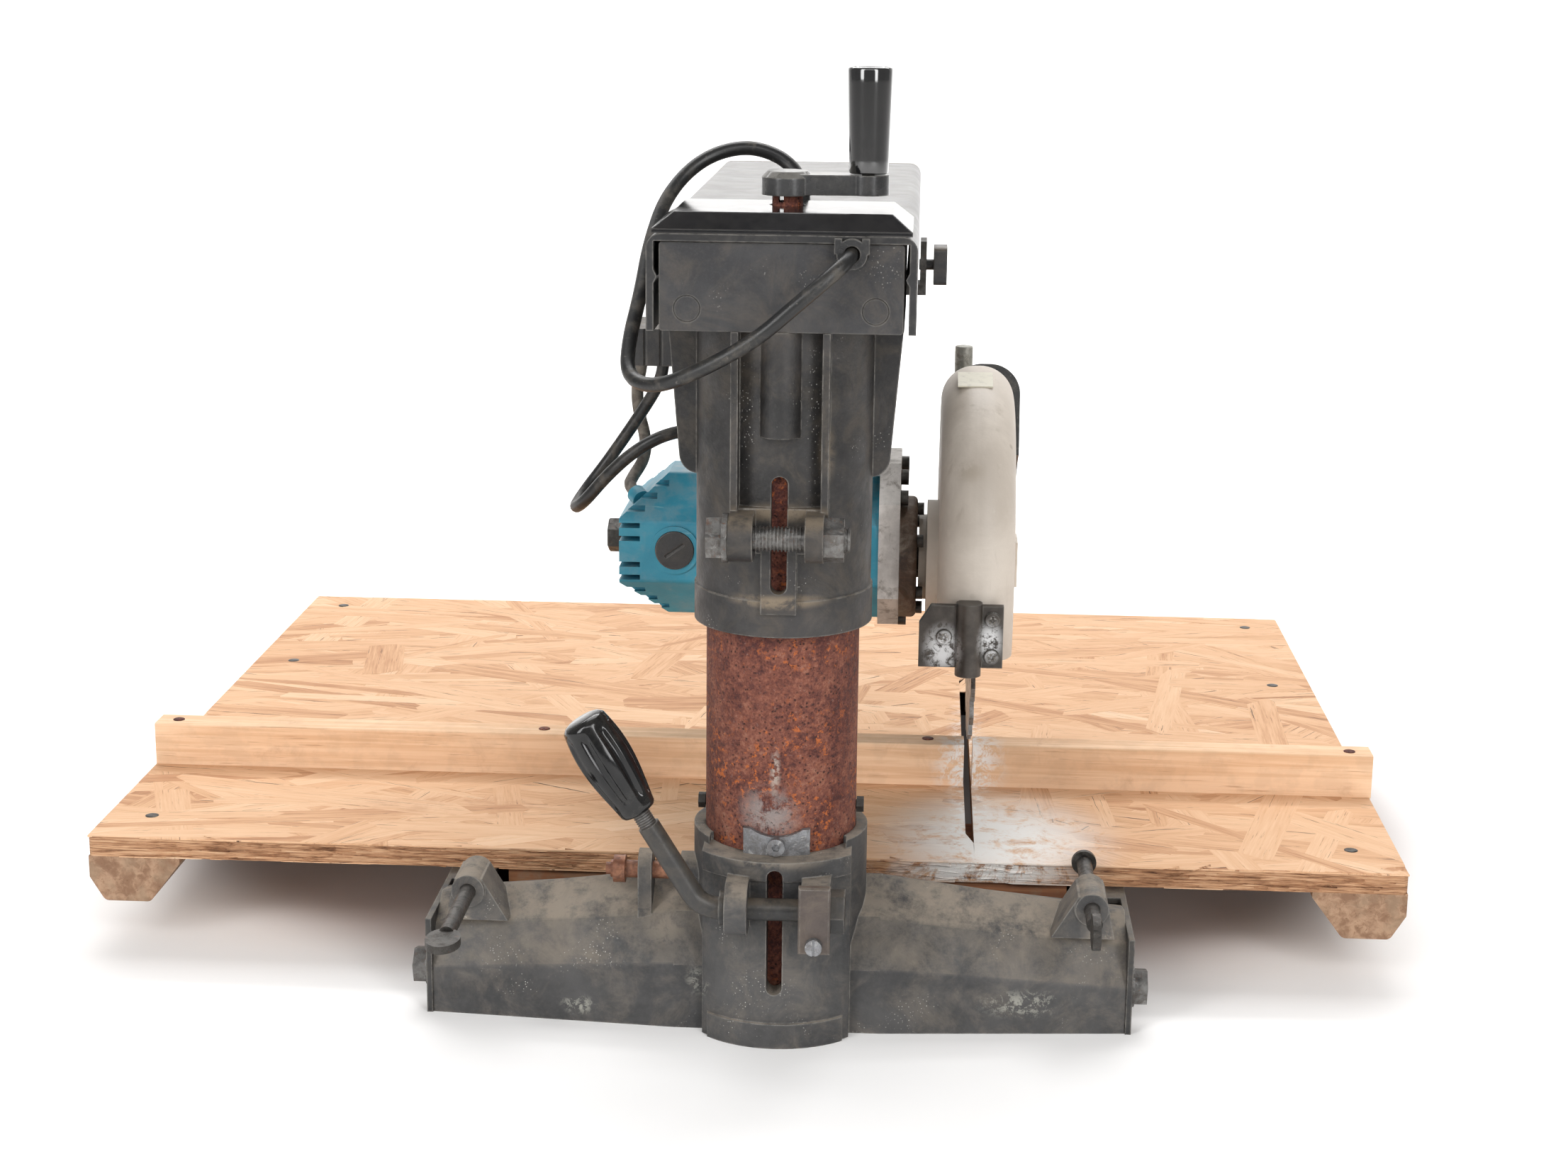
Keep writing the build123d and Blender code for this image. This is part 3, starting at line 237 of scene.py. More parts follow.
TAN_DUST = (0.23, 0.18, 0.125)
PALE_DUST = (0.42, 0.39, 0.33)


def worn(name, base, light, rough=(0.4, 0.65), metal=0.0, dust=0.5, dust_tint=TAN_DUST, film=0.12,
         specks=0.0, skin=0.00025, skin_scale=700, edge=0.0, coat=0.0, shine=0.5,
         dots=(), patches=(), heaps=()):
    """A painted, cast or moulded surface with tone drift, settled dust, specks and rubbed edges.

    dust is what settles on top and film what clings all round. skin is the depth of the surface's grain.
    dots, patches and heaps are (centre, reach) places in millimetres: white grit, pale scrapes and dust.
    """
    s = Shader(name)
    drift = s.noise(16, 6, 0.66)
    fine = s.noise(skin_scale, 3, 0.6)
    colour = s.mix(s.window(drift, 0.35, 0.68), base, light)
    colour = s.mix(s.window(fine, 0.45, 0.75, (0, 0.35)), colour, light)
    smudge = s.window(s.noise(42, 7, 0.74, 0.6), 0.42, 0.7)
    settled = s.times(upward(s), s.window(s.noise(60, 6, 0.75), 0.3, 0.6))
    veil = s.math("ADD", s.times(settled, dust), s.times(smudge, film), clamp=True)
    for centre, reach in heaps:
        heap = s.times(s.near(centre, reach), s.window(s.noise(90, 6, 0.75, 0.4), 0.34, 0.56))
        veil = s.math("MAXIMUM", veil, s.times(heap, 0.85))
    colour = s.mix(veil, colour, dust_tint)
    for centre, reach in patches:
        scrape = s.times(s.near(centre, reach), s.window(s.noise(150, 6, 0.8, 0.5), 0.5, 0.58))
        colour = s.mix(s.times(scrape, 0.8), colour, (0.34, 0.335, 0.29))
    roughness = s.window(s.noise(55, 5), 0.3, 0.7, rough)
    roughness = s.math("ADD", roughness, s.times(veil, 0.35), clamp=True)
    grit = s.window(s.cells(640), 0.24, 0.12)
    if specks:
        where = s.window(s.noise(24, 4, 0.7), 0.55, 0.68)
        colour = s.mix(s.times(grit, where, specks), colour, (0.55, 0.53, 0.48))
    for centre, reach in dots:
        where = s.times(s.near(centre, reach), s.window(s.noise(170, 5, 0.8), 0.42, 0.56))
        colour = s.mix(s.times(grit, where), colour, (0.62, 0.6, 0.56))
    height = s.math("ADD", fine, s.times(s.noise(skin_scale / 6, 4), 1.6))
    normal = None
    if edge:
        normal, rim = s.rounded(0.0012)
        rubbed = s.times(rim, s.window(s.noise(130, 6, 0.75, 0.3), 0.4, 0.6, (0.15, edge)))
        colour = s.mix(rubbed, colour, (0.30, 0.28, 0.25))
    normal = s.bump(height, skin, 0.5, normal)
    s.set(Base_Color=colour, Roughness=roughness, Metallic=metal, Normal=normal)
    s.bsdf.inputs["Specular IOR Level"].default_value = shine
    s.bsdf.inputs["Coat Weight"].default_value = coat
    s.bsdf.inputs["Coat Roughness"].default_value = 0.12
    return s.material


def rusted(name, patch=False):
    """Deeply rusted tube: maroon and brown crust with pits, orange points and darker scale."""
    s = Shader(name)
    broad = s.noise(30, 6, 0.68, 0.3)
    mottle = s.noise(290, 6, 0.74, 0.3)
    crust = s.noise(900, 4, 0.7)
    blend = s.math("ADD", s.times(broad, 0.36), s.times(mottle, 0.44))
    blend = s.math("ADD", blend, s.times(crust, 0.2))
    colour = s.ramp(blend, (0.38, (0.035, 0.010, 0.010)), (0.45, (0.095, 0.026, 0.020)),
                    (0.50, (0.175, 0.056, 0.037)), (0.56, (0.275, 0.100, 0.062)),
                    (0.66, (0.40, 0.215, 0.145)))
    bloom = s.times(s.window(s.noise(34, 4, 0.6), 0.46, 0.6), s.window(s.noise(330, 4, 0.7), 0.55, 0.62))
    colour = s.mix(s.times(bloom, 0.85), colour, (0.58, 0.15, 0.03))
    pits = s.window(s.cells(420), 0.3, 0.12)
    pits = s.times(pits, s.window(s.noise(60, 5, 0.7), 0.4, 0.56))
    colour = s.mix(s.times(pits, 0.8), colour, (0.025, 0.011, 0.012))
    flakes = s.window(s.noise(420, 5, 0.8), 0.6, 0.66)
    colour = s.mix(s.times(flakes, 0.32), colour, (0.42, 0.28, 0.23))
    roughness = s.window(mottle, 0.3, 0.7, (0.62, 0.92))
    if patch:
        bare = s.times(s.near((4, 38, 118), (20, 30, 20)), s.window(s.noise(95, 7, 0.8, 0.6), 0.4, 0.56))
        colour = s.mix(s.times(bare, 0.75), colour, (0.36, 0.32, 0.30))
        scratch = s.times(s.near((1, 38, 140), (3.5, 30, 16)), s.window(s.noise(300, 4), 0.42, 0.55))
        colour = s.mix(s.times(scratch, 0.8), colour, (0.5, 0.42, 0.36))
        roughness = s.math("SUBTRACT", roughness, s.times(bare, 0.25))
    relief = s.math("ADD", crust, s.times(mottle, 1.6))
    relief = s.math("SUBTRACT", relief, s.times(pits, 1.4))
    s.set(Base_Color=colour, Roughness=roughness, Metallic=0.1, Normal=s.bump(relief, 0.0008, 0.85))
    return s.material


def teal_plastic():
    """Moulded teal housing: fine spark texture, scuffs, and grey dust in patches and on its upper faces.
    """
    s = Shader("teal_plastic")
    drift = s.noise(30, 5, 0.6)
    colour = s.mix(s.window(drift, 0.3, 0.7), (0.024, 0.225, 0.325), (0.042, 0.295, 0.41))
    veil = s.times(s.window(s.noise(48, 6, 0.7, 0.5), 0.45, 0.75), 0.35)
    settled = s.times(upward(s, 0.3, 0.95), s.window(s.noise(85, 5), 0.42, 0.66), 0.4)
    veil = s.math("ADD", veil, settled, clamp=True)
    colour = s.mix(veil, colour, (0.27, 0.33, 0.34))
    streaks = s.noise(1, 4, 0.6, at=s.stretch((40, 40, 420), turn=(0.5, 0.3, 0)))
    scuff = s.window(streaks, 0.68, 0.71, (0, 0.5))
    colour = s.mix(scuff, colour, (0.2, 0.42, 0.47))
    fine = s.noise(1300, 2)
    roughness = s.window(drift, 0.3, 0.7, (0.34, 0.52))
    s.set(Base_Color=colour, Roughness=roughness, Normal=s.bump(fine, 0.00012, 0.5))
    return s.material


def guard_paint():
    """Beige-grey painted guard with brown drips, rubbed paler patches and light dust."""
    s = Shader("guard_paint")
    drift = s.noise(17, 6, 0.65, 0.4)
    colour = s.mix(s.window(drift, 0.35, 0.68), (0.55, 0.485, 0.415), (0.68, 0.61, 0.53))
    drips = s.noise(1, 5, 0.65, at=s.stretch((75, 75, 14)))
    colour = s.mix(s.window(drips, 0.56, 0.78, (0, 0.6)), colour, (0.36, 0.30, 0.235))
    spots = s.times(s.window(s.cells(70), 0.16, 0.07), s.window(s.noise(30, 3), 0.5, 0.62))
    colour = s.mix(s.times(spots, 0.5), colour, (0.30, 0.24, 0.18))
    pale = s.window(s.noise(90, 5, 0.7), 0.62, 0.75, (0, 0.35))
    colour = s.mix(pale, colour, (0.68, 0.64, 0.58))
    stain = s.times(s.near((-92, -100, 262), (14, 40, 9)), s.window(s.noise(70, 5, 0.7), 0.4, 0.55))
    colour = s.mix(s.times(stain, 0.5), colour, (0.3, 0.235, 0.16))
    skin = s.math("ADD", s.noise(420, 3), s.noise(90, 4))
    roughness = s.window(drift, 0.3, 0.7, (0.42, 0.62))
    s.set(Base_Color=colour, Roughness=roughness, Normal=s.bump(skin, 0.0002, 0.45))
    return s.material


def steel(name, base, light, grime, rough=(0.3, 0.55), metal=0.85, rust=0.2, powder=0.0):
    """Plated or bare steel with oxide, grime in patches, rust freckles and white corrosion."""
    s = Shader(name)
    drift = s.noise(120, 5, 0.65)
    colour = s.mix(s.window(drift, 0.35, 0.7), base, light)
    dirt = s.window(s.noise(210, 6, 0.75, 0.3), 0.44, 0.64)
    colour = s.mix(s.times(dirt, 0.75), colour, grime)
    freckle = s.window(s.noise(380, 5, 0.75), 0.6, 0.66, (0, rust))
    colour = s.mix(freckle, colour, (0.2, 0.075, 0.03))
    metallic = s.window(dirt, 0, 1, (metal, metal * 0.35))
    if powder:
        white = s.window(s.noise(160, 6, 0.8, 0.8), 0.56, 0.64, (0, powder))
        colour = s.mix(white, colour, (0.62, 0.62, 0.6))
        metallic = s.math("SUBTRACT", metallic, white, clamp=True)
    relief = s.math("ADD", s.noise(900, 3), s.times(dirt, 0.8))
    roughness = s.math("ADD", s.window(drift, 0.3, 0.7, rough), s.times(dirt, 0.2), clamp=True)
    s.set(Base_Color=colour, Roughness=roughness, Metallic=metallic, Normal=s.bump(relief, 0.0002, 0.5))
    return s.material


def cast_alloy():
    """Light grey die casting with a dull grain and dark grease in patches."""
    s = Shader("cast_alloy")
    drift = s.noise(45, 6, 0.7)
    colour = s.mix(s.window(drift, 0.35, 0.68), (0.50, 0.475, 0.45), (0.72, 0.69, 0.655))
    grease = s.window(s.noise(95, 6, 0.72, 0.5), 0.5, 0.66, (0, 0.6))
    colour = s.mix(grease, colour, (0.13, 0.1, 0.075))
    s.set(Base_Color=colour, Roughness=0.62, Metallic=0.35, Normal=s.bump(s.noise(520, 4), 0.0003, 0.6))
    return s.material


def rubber():
    """Black lead sheath with a soft sheen and brown dust rubbed along it."""
    s = Shader("rubber")
    dust = s.window(s.noise(60, 6, 0.72, 0.4), 0.46, 0.72)
    colour = s.mix(s.times(dust, 0.55), (0.014, 0.014, 0.014), (0.15, 0.13, 0.105))
    scuff = s.window(s.noise(420, 4, 0.7), 0.64, 0.7, (0, 0.4))
    colour = s.mix(scuff, colour, (0.2, 0.18, 0.16))
    roughness = s.window(dust, 0, 1, (0.36, 0.7))
    s.set(Base_Color=colour, Roughness=roughness, Normal=s.bump(s.noise(650, 3), 0.00015, 0.5))
    return s.material


def grey_lead():
    """The oldest lead: its sheath has gone dusty grey-brown all along."""
    s = Shader("grey_lead")
    dust = s.window(s.noise(80, 6, 0.72, 0.4), 0.3, 0.7)
    colour = s.mix(dust, (0.05, 0.043, 0.036), (0.24, 0.21, 0.175))
    s.set(Base_Color=colour, Roughness=0.72, Normal=s.bump(s.noise(500, 4), 0.0002, 0.5))
    return s.material


def strand_wood():
    """A flake of strand board: grain along it, its own tone, pores, thin dark lines painted as the shade
    in gaps between flakes, and powder by the kerf.
    """
    s = Shader("strand_wood")
    uv = s.tree.nodes.new("ShaderNodeUVMap")
    uv.uv_map = "grain"
    tone = s.tree.nodes.new("ShaderNodeAttribute")
    tone.attribute_name = "tone"
    along = s.stretch((28, 620, 1), at=uv.outputs[0])
    grain = s.noise(1, 6, 0.66, 0.35, at=along)
    bands = s.noise(1, 3, 0.6, at=s.stretch((7, 130, 1), at=uv.outputs[0]))
    level = s.math("ADD", s.times(grain, 0.5), s.times(bands, 0.35))
    level = s.math("ADD", level, s.math("SUBTRACT", s.times(tone.outputs["Fac"], 0.62), 0.3), clamp=True)
    colour = s.ramp(level, (0.14, (0.20, 0.08, 0.035)), (0.3, (0.47, 0.235, 0.115)),
                    (0.46, (0.66, 0.39, 0.22)), (0.64, (0.74, 0.48, 0.295)), (0.9, (0.82, 0.59, 0.41)))
    pores = s.window(s.noise(1, 3, at=s.stretch((34, 900, 1), at=uv.outputs[0])), 0.6, 0.7, (0, 0.6))
    colour = s.mix(pores, colour, (0.25, 0.105, 0.045))
    # Painted shade: thin near-black lines where gaps between flakes would lie in shadow.
    painted_gap_shade = s.window(s.noise(1, 4, 0.7, at=s.stretch((13, 330, 1), at=uv.outputs[0])), 0.625, 0.65)
    colour = s.mix(s.times(painted_gap_shade, 0.85), colour, (0.06, 0.025, 0.012))
    drifts = s.window(s.noise(60, 7, 0.78, 0.5), 0.3, 0.52)
    powder = s.times(s.near((-112, -92, 62), (78, 98, 60)), drifts)
    crumbs = s.window(s.noise(130, 6, 0.75), 0.46, 0.6)
    edge_powder = s.times(s.near((-99, -215, 62), (16, 190, 60)), crumbs, 0.7)
    colour = s.mix(s.math("ADD", powder, edge_powder, clamp=True), colour, (0.86, 0.835, 0.80))
    stain = s.times(s.near((170, -120, 62), (120, 26, 60)), s.window(s.noise(28, 5, 0.7), 0.45, 0.7), 0.4)
    colour = s.mix(stain, colour, (0.36, 0.15, 0.07))
    s.set(Base_Color=colour, Roughness=0.78, Normal=s.bump(level, 0.0007, 0.6))
    return s.material


def board_edge():
    """The sawn edge of strand board: thin uneven layers with dark gaps between them."""
    s = Shader("board_edge")
    layers = s.noise(1, 5, 0.7, 0.5, at=s.stretch((45, 45, 1300)))
    colour = s.ramp(layers, (0.34, (0.10, 0.04, 0.018)), (0.44, (0.34, 0.165, 0.08)),
                    (0.54, (0.56, 0.31, 0.165)), (0.7, (0.72, 0.48, 0.30)))
    drifts = s.window(s.noise(75, 7, 0.78, 0.4), 0.4, 0.55)
    powder = s.times(s.near((-105, -55, 57), (70, 30, 14)), drifts)
    colour = s.mix(powder, colour, (0.86, 0.835, 0.80))
    s.set(Base_Color=colour, Roughness=0.85, Normal=s.bump(layers, 0.0012, 0.8))
    return s.material


def timber(name, light, dark, tone=(0.36, 0.17, 0.07), worn_edge=0.0, powder_at=None):
    """Sawn softwood with its grain along X or along the board, pores and a few dark smears."""
    s = Shader(name)
    stretch = (9, 260, 260) if name != "cleat_timber" else (260, 9, 260)
    grain = s.noise(1, 6, 0.62, 0.5, at=s.stretch(stretch))
    rings = s.noise(1, 2, 0.5, 1.2, at=s.stretch([v / 5 for v in stretch]))
    level = s.math("ADD", s.times(grain, 0.6), s.times(rings, 0.4))
    colour = s.mix(s.window(level, 0.4, 0.62), dark, light)
    pores = s.window(s.noise(1, 3, 0.6, at=s.stretch([v * 3.2 for v in stretch])), 0.62, 0.72, (0, 0.55))
    colour = s.mix(pores, colour, tone)
    smear = s.window(s.noise(26, 6, 0.7, 0.6), 0.58, 0.78, (0, 0.45))
    colour = s.mix(smear, colour, tone)
    if worn_edge:
        dirt = s.times(s.window(s.noise(70, 5), 0.45, 0.62), worn_edge)
        colour = s.mix(dirt, colour, (0.28, 0.19, 0.12))
    if powder_at:
        white = s.times(s.near(powder_at, (26, 60, 40)), s.window(s.noise(120, 6, 0.75, 0.6), 0.42, 0.56))
        colour = s.mix(white, colour, (0.82, 0.8, 0.78))
    s.set(Base_Color=colour, Roughness=0.8, Normal=s.bump(level, 0.0006, 0.7))
    return s.material


def label_film():
    """A blank cream label, yellowed and scratched."""
    s = Shader("label_film")
    worn_patch = s.window(s.noise(180, 5, 0.7), 0.5, 0.66, (0, 0.6))
    colour = s.mix(worn_patch, (0.66, 0.62, 0.5), (0.5, 0.46, 0.38))
    s.set(Base_Color=colour, Roughness=0.45, Normal=s.bump(s.noise(400, 3), 0.0001, 0.4))
    return s.material


def clouded_bracket():
    """Dark brown steel with a burst of white powder over its lower half."""
    s = Shader("clouded_bracket")
    drift = s.noise(90, 5)
    colour = s.mix(s.window(drift, 0.35, 0.7), (0.042, 0.034, 0.028), (0.085, 0.072, 0.06))
    white = s.times(s.near((-81, -89, 170), (13, 20, 17)), s.window(s.noise(190, 6, 0.8, 0.5), 0.4, 0.52))
    more = s.times(s.near((-106, -89, 175), (9, 20, 15)), s.window(s.noise(240, 6, 0.8), 0.4, 0.52))
    colour = s.mix(s.math("ADD", white, more, clamp=True), colour, (0.72, 0.72, 0.72))
    normal, rim = s.rounded(0.0012)
    colour = s.mix(s.times(rim, 0.35), colour, (0.3, 0.28, 0.25))
    normal = s.bump(s.noise(600, 4), 0.00015, 0.5, normal)
    s.set(Base_Color=colour, Roughness=0.42, Metallic=0.2, Normal=normal)
    return s.material


RIB_GRIT = (((16, 44, 318), (5, 12, 52)), ((-16, 44, 318), (5, 12, 52)), ((-42, 38, 322), (4, 12, 46)))
BASE_HEAPS = (((58, 26, 56), (24, 20, 22)), ((-62, 26, 62), (30, 20, 14)), ((165, 18, 50), (14, 20, 12)),
              ((-165, 18, 50), (14, 20, 12)), ((0, 50, 100), (40, 12, 8)))
BASE_SCRAPES = (((101, 27, 9), (12, 12, 7)), ((-126, 27, 16), (30, 14, 10)), ((40, 36, 26), (9, 12, 12)))
SLEEVE_HEAPS = (((0, 50, 272), (44, 14, 7)), ((-24, 42, 300), (8, 10, 24)), ((0, 46, 228), (60, 14, 5)))

MATERIALS = {
    "casting": worn(
        "casting", (0.030, 0.030, 0.031), (0.072, 0.070, 0.069), (0.46, 0.66), dust=0.85, film=0.3,
        specks=0.7, skin=0.0005, skin_scale=420, edge=0.8, heaps=BASE_HEAPS, patches=BASE_SCRAPES,
        dust_tint=(0.26, 0.22, 0.175),
    ),
    "sleeve": worn(
        "sleeve", (0.012, 0.0115, 0.0115), (0.042, 0.039, 0.038), (0.42, 0.62), dust=0.6, film=0.18,
        specks=0.7, skin=0.0005, skin_scale=420, edge=0.7, dots=RIB_GRIT, heaps=SLEEVE_HEAPS,
    ),
    "arm_paint": worn(
        "arm_paint", (0.014, 0.014, 0.015), (0.028, 0.028, 0.029), (0.3, 0.36), dust=0.14,
        dust_tint=(0.36, 0.32, 0.27), film=0.08, skin=0.00008, edge=0.6, coat=0.2,
    ),
    "cap_gloss": worn(
        "cap_gloss", (0.004, 0.004, 0.005), (0.007, 0.007, 0.009), (0.06, 0.12), dust=0.03,
        dust_tint=(0.34, 0.31, 0.27), film=0.01, skin=0.00003, edge=0.2,
    ),
    "cover": worn(
        "cover", (0.022, 0.022, 0.024), (0.05, 0.049, 0.05), (0.5, 0.66), dust=0.5, film=0.16,
        specks=0.35, skin=0.00022, skin_scale=900, edge=0.4,
    ),
    "rail_paint": worn(
        "rail_paint", (0.016, 0.016, 0.017), (0.04, 0.04, 0.04), (0.35, 0.6), dust=0.4, film=0.18,
        skin=0.0002, edge=0.7,
    ),
    "black_plastic": worn(
        "black_plastic", (0.022, 0.022, 0.023), (0.05, 0.05, 0.051), (0.3, 0.5), dust=0.4,
        film=0.12, skin=0.00014, skin_scale=1100, edge=0.35,
    ),
    "lever_black": worn(
        "lever_black", (0.012, 0.012, 0.012), (0.038, 0.037, 0.036), (0.3, 0.48), dust=0.3,
        film=0.16, specks=0.6, skin=0.0002, skin_scale=600, edge=0.6,
    ),
    "gloss_black": worn(
        "gloss_black", (0.02, 0.02, 0.0205), (0.055, 0.055, 0.056), (0.2, 0.32), dust=0.3,
        dust_tint=PALE_DUST, film=0.08, skin=0.0001, edge=0.5, coat=0.3,
    ),
    "bakelite": worn(
        "bakelite", (0.004, 0.004, 0.0045), (0.009, 0.009, 0.0095), (0.08, 0.2), dust=0.04,
        dust_tint=PALE_DUST, film=0.05, skin=0.00003, specks=0.4,
    ),
    "knob_gloss": worn(
        "knob_gloss", (0.003, 0.003, 0.0035), (0.006, 0.006, 0.0065), (0.05, 0.1), dust=0.02,
        dust_tint=PALE_DUST, film=0.012, skin=0.00002, shine=1.0, coat=1.0,
    ),
    "column_rust": rusted("column_rust", patch=True),
    "brown_rust": rusted("brown_rust"),
    "greasy_rust": worn(
        "greasy_rust", (0.035, 0.022, 0.015), (0.12, 0.062, 0.036), (0.4, 0.8), dust=0.3, film=0.7,
        dust_tint=(0.30, 0.245, 0.19), skin=0.0006, skin_scale=500, metal=0.1, edge=0.3,
    ),
    "teal": teal_plastic(),
    "guard": guard_paint(),
    "zinc": steel(
        "zinc", (0.13, 0.125, 0.12), (0.24, 0.235, 0.225), (0.07, 0.056, 0.045), rust=0.5,
        powder=0.2,
    ),
    "rod_zinc": steel(
        "rod_zinc", (0.27, 0.265, 0.23), (0.40, 0.39, 0.35), (0.13, 0.12, 0.095), rust=0.2,
        powder=0.15,
    ),
    "keeper_zinc": steel(
        "keeper_zinc", (0.22, 0.225, 0.235), (0.36, 0.365, 0.38), (0.12, 0.11, 0.105), rust=0.1,
        powder=0.5,
    ),
    "dark_steel": steel(
        "dark_steel", (0.05, 0.047, 0.043), (0.12, 0.112, 0.104), (0.035, 0.029, 0.024), rust=0.3,
    ),
    "screw_steel": steel(
        "screw_steel", (0.15, 0.14, 0.12), (0.30, 0.28, 0.25), (0.06, 0.05, 0.04), rust=0.3,
        powder=0.3,
    ),
    "blade": steel(
        "blade", (0.26, 0.25, 0.24), (0.42, 0.41, 0.40), (0.1, 0.075, 0.055), (0.28, 0.45),
        rust=0.35,
    ),
    "brass": steel(
        "brass", (0.20, 0.08, 0.045), (0.34, 0.16, 0.09), (0.1, 0.04, 0.025), (0.3, 0.5), 0.4,
        rust=0.6,
    ),
    "stop_plate": worn(
        "stop_plate", (0.045, 0.034, 0.03), (0.10, 0.078, 0.068), (0.3, 0.5), dust=0.4, film=0.3,
        skin=0.0002, edge=0.8,
    ),
    "alloy": cast_alloy(),
    "rubber": rubber(),
    "grey_lead": grey_lead(),
    "strand": strand_wood(),
    "board_edge": board_edge(),
    "fence": timber(
        "fence_timber", (0.84, 0.58, 0.38), (0.70, 0.44, 0.26), (0.42, 0.215, 0.115), 0.12,
        (-99, -181, 75),
    ),
    "cleat": timber("cleat_timber", (0.40, 0.25, 0.155), (0.23, 0.125, 0.07), (0.12, 0.055, 0.03), 0.6),
    "centre": timber(
        "centre_timber", (0.42, 0.19, 0.085), (0.24, 0.095, 0.045), (0.09, 0.035, 0.02), 0.5,
    ),
    "label": label_film(),
    "bracket": clouded_bracket(),
}

FINISHES = {
    "casting": ("base_casting", "yoke"),
    "lever_black": ("mitre_lever",),
    "gloss_black": ("crank_arm", "lead_entries"),
    "sleeve": ("arm_sleeve",),
    "rail_paint": ("left_rail", "right_rail", "front_crossbar"),
    "arm_paint": ("arm_channel",),
    "cap_gloss": ("top_cap",),
    "cover": ("rear_cover", "arm_end_cap"),
    "black_plastic": ("carriage_lock_knob", "cable_box", "pull_handle", "trigger", "swivel_lock_lever",
                      "bevel_lock_lever", "brush_caps"),
    "knob_gloss": ("crank_knob",),
    "column_rust": ("column_tube",),
    "brown_rust": ("lifting_screw",),
    "greasy_rust": ("spindle_flange",),
    "teal": ("motor_housing", "motor_end_cap"),
    "guard": ("guard_shell",),
    "zinc": ("rail_bolts", "sleeve_clamp_bolt"),
    "rod_zinc": ("kickback_rod",),
    "keeper_zinc": ("column_keeper", "base_screws"),
    "dark_steel": ("column_stop_screws", "left_thumb_screw", "right_thumb_screw", "gear_case_screws",
                   "spindle", "blade_clamp", "roller_1", "roller_2", "roller_3", "roller_4", "armature",
                   "carriage_plate"),
    "blade": ("saw_blade",),
    "brass": ("index_pin",),
    "stop_plate": ("lever_stop_plate",),
    "alloy": ("gear_case",),
    "rubber": ("dust_deflector",),
    "board_edge": ("table_board",),
    "fence": ("left_fence", "right_fence"),
    "cleat": ("left_cleat", "right_cleat"),
    "centre": ("centre_board",),
    "bracket": ("guard_bracket",),
}
for finish, names in FINISHES.items():
    for name in names:
        shade(name, MATERIALS[finish])


# --- leads ------------------------------------------------------------------------------
LEAD_R = 3.55


def lead(name, route, body, node, material):
    """A round lead on one smooth curve through its route, in millimetres."""
    curve = bpy.data.curves.new(name, "CURVE")
    curve.dimensions = "3D"
    curve.bevel_depth = LEAD_R * MM
    curve.bevel_resolution = 5
    curve.resolution_u = 10
    curve.use_fill_caps = True
    spline = curve.splines.new("NURBS")
    spline.points.add(len(route) - 1)
    for point, place in zip(spline.points, route):
        point.co = (*[c * MM for c in place], 1)
    spline.order_u = 3
    spline.use_endpoint_u = True
    piece = link(bpy.data.objects.new(name, curve))
    curve.materials.append(material)
    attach(piece, body)
    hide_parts(node)


supply_route = [
    (-32.7, 50, 396),
    (-31.5, 58.5, 394),
    (-24, 65.5, 387.5),
    (-8, 69.5, 374),
    (10, 69.5, 358),
    (34, 65, 343.5),
    (58, 56, 332.5),
    (73, 42, 335),
    (74, 24, 350),
    (70.5, 3, 370),
    (69, -22, 391),
    (63, -46, 413),
    (47, -60, 430),
    (26, -65, 436.5),
    (8, -65.5, 432),
    (-2, -62, 423),
    (-5, -58, 413),
    (-5, -58, 404),
]
loop_route = [
    (80.5, -200, 304),
    (81.5, -200.5, 296),
    (87, -204, 285),
    (98, -208, 268),
    (113, -208, 246),
    (126, -201, 229),
    (131, -187, 221),
    (123, -173, 228),
    (109, -167.5, 245),
    (93, -165, 260),
    (75, -166, 270),
    (57, -172, 271.5),
    (44, -174, 267),
    (34, -174, 266),
]
motor_route = [
    (96, -230, 304),
    (96.4, -230.3, 297),
    (99.5, -233, 285),
    (99, -236, 270),
    (94.5, -236, 254),
    (95, -233, 242),
    (101, -224, 233),
    (102.5, -215, 229.5),
    (97.7, -208.5, 226.6),
]
lead("supply_lead_run", supply_route, "arm", "supply_lead", MATERIALS["rubber"])
lead("motor_loop_run", loop_route, "yoke_body", "motor_loop_lead", MATERIALS["rubber"])
lead("motor_lead_run", motor_route, "yoke_body", "motor_lead", MATERIALS["grey_lead"])


# --- strand board -----------------------------------------------------------------------
board_low, board_high = (Vector(c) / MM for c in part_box("table_board"))
kerf = (-98.5 - 2.2, -98.5 + 2.2)
kerf_ends = (-62.0, -445.0)


def clip(outline, axis, limit, sign):
    """The part of an outline on one side of a limit; each point is x, y, u, v."""
    kept = []
    for here, after in zip(outline, outline[1:] + outline[:1]):
        a, b = sign * (here[axis] - limit), sign * (after[axis] - limit)
        if a >= 0:
            kept.append(here)
        if a * b < 0:
            t = a / (a - b)
            kept.append(tuple(h + (n - h) * t for h, n in zip(here, after)))
    return kept


def flake(rng, x, y, turn, length, width):
    """A long thin outline with torn ends."""
    half, side = length / 2, width / 2
    ends = [
        (-half + rng.uniform(0, 0.12) * length, -side),
        (half - rng.uniform(0, 0.1) * length, -side * rng.uniform(0.8, 1.1)),
        (half, rng.uniform(-0.6, 0.6) * side),
        (half - rng.uniform(0, 0.14) * length, side * rng.uniform(0.8, 1.1)),
        (-half + rng.uniform(0, 0.1) * length, side),
        (-half, rng.uniform(-0.6, 0.6) * side),
    ]
    shift = rng.uniform(0, 40)
    ca, sa = cos(turn), sin(turn)
    placed = []
    for u, v in ends:
        grain_u, grain_v = (u + shift * 31) * MM, (v + shift * 7) * MM
        placed.append((x + u * ca - v * sa, y + u * sa + v * ca, grain_u, grain_v))
    return placed


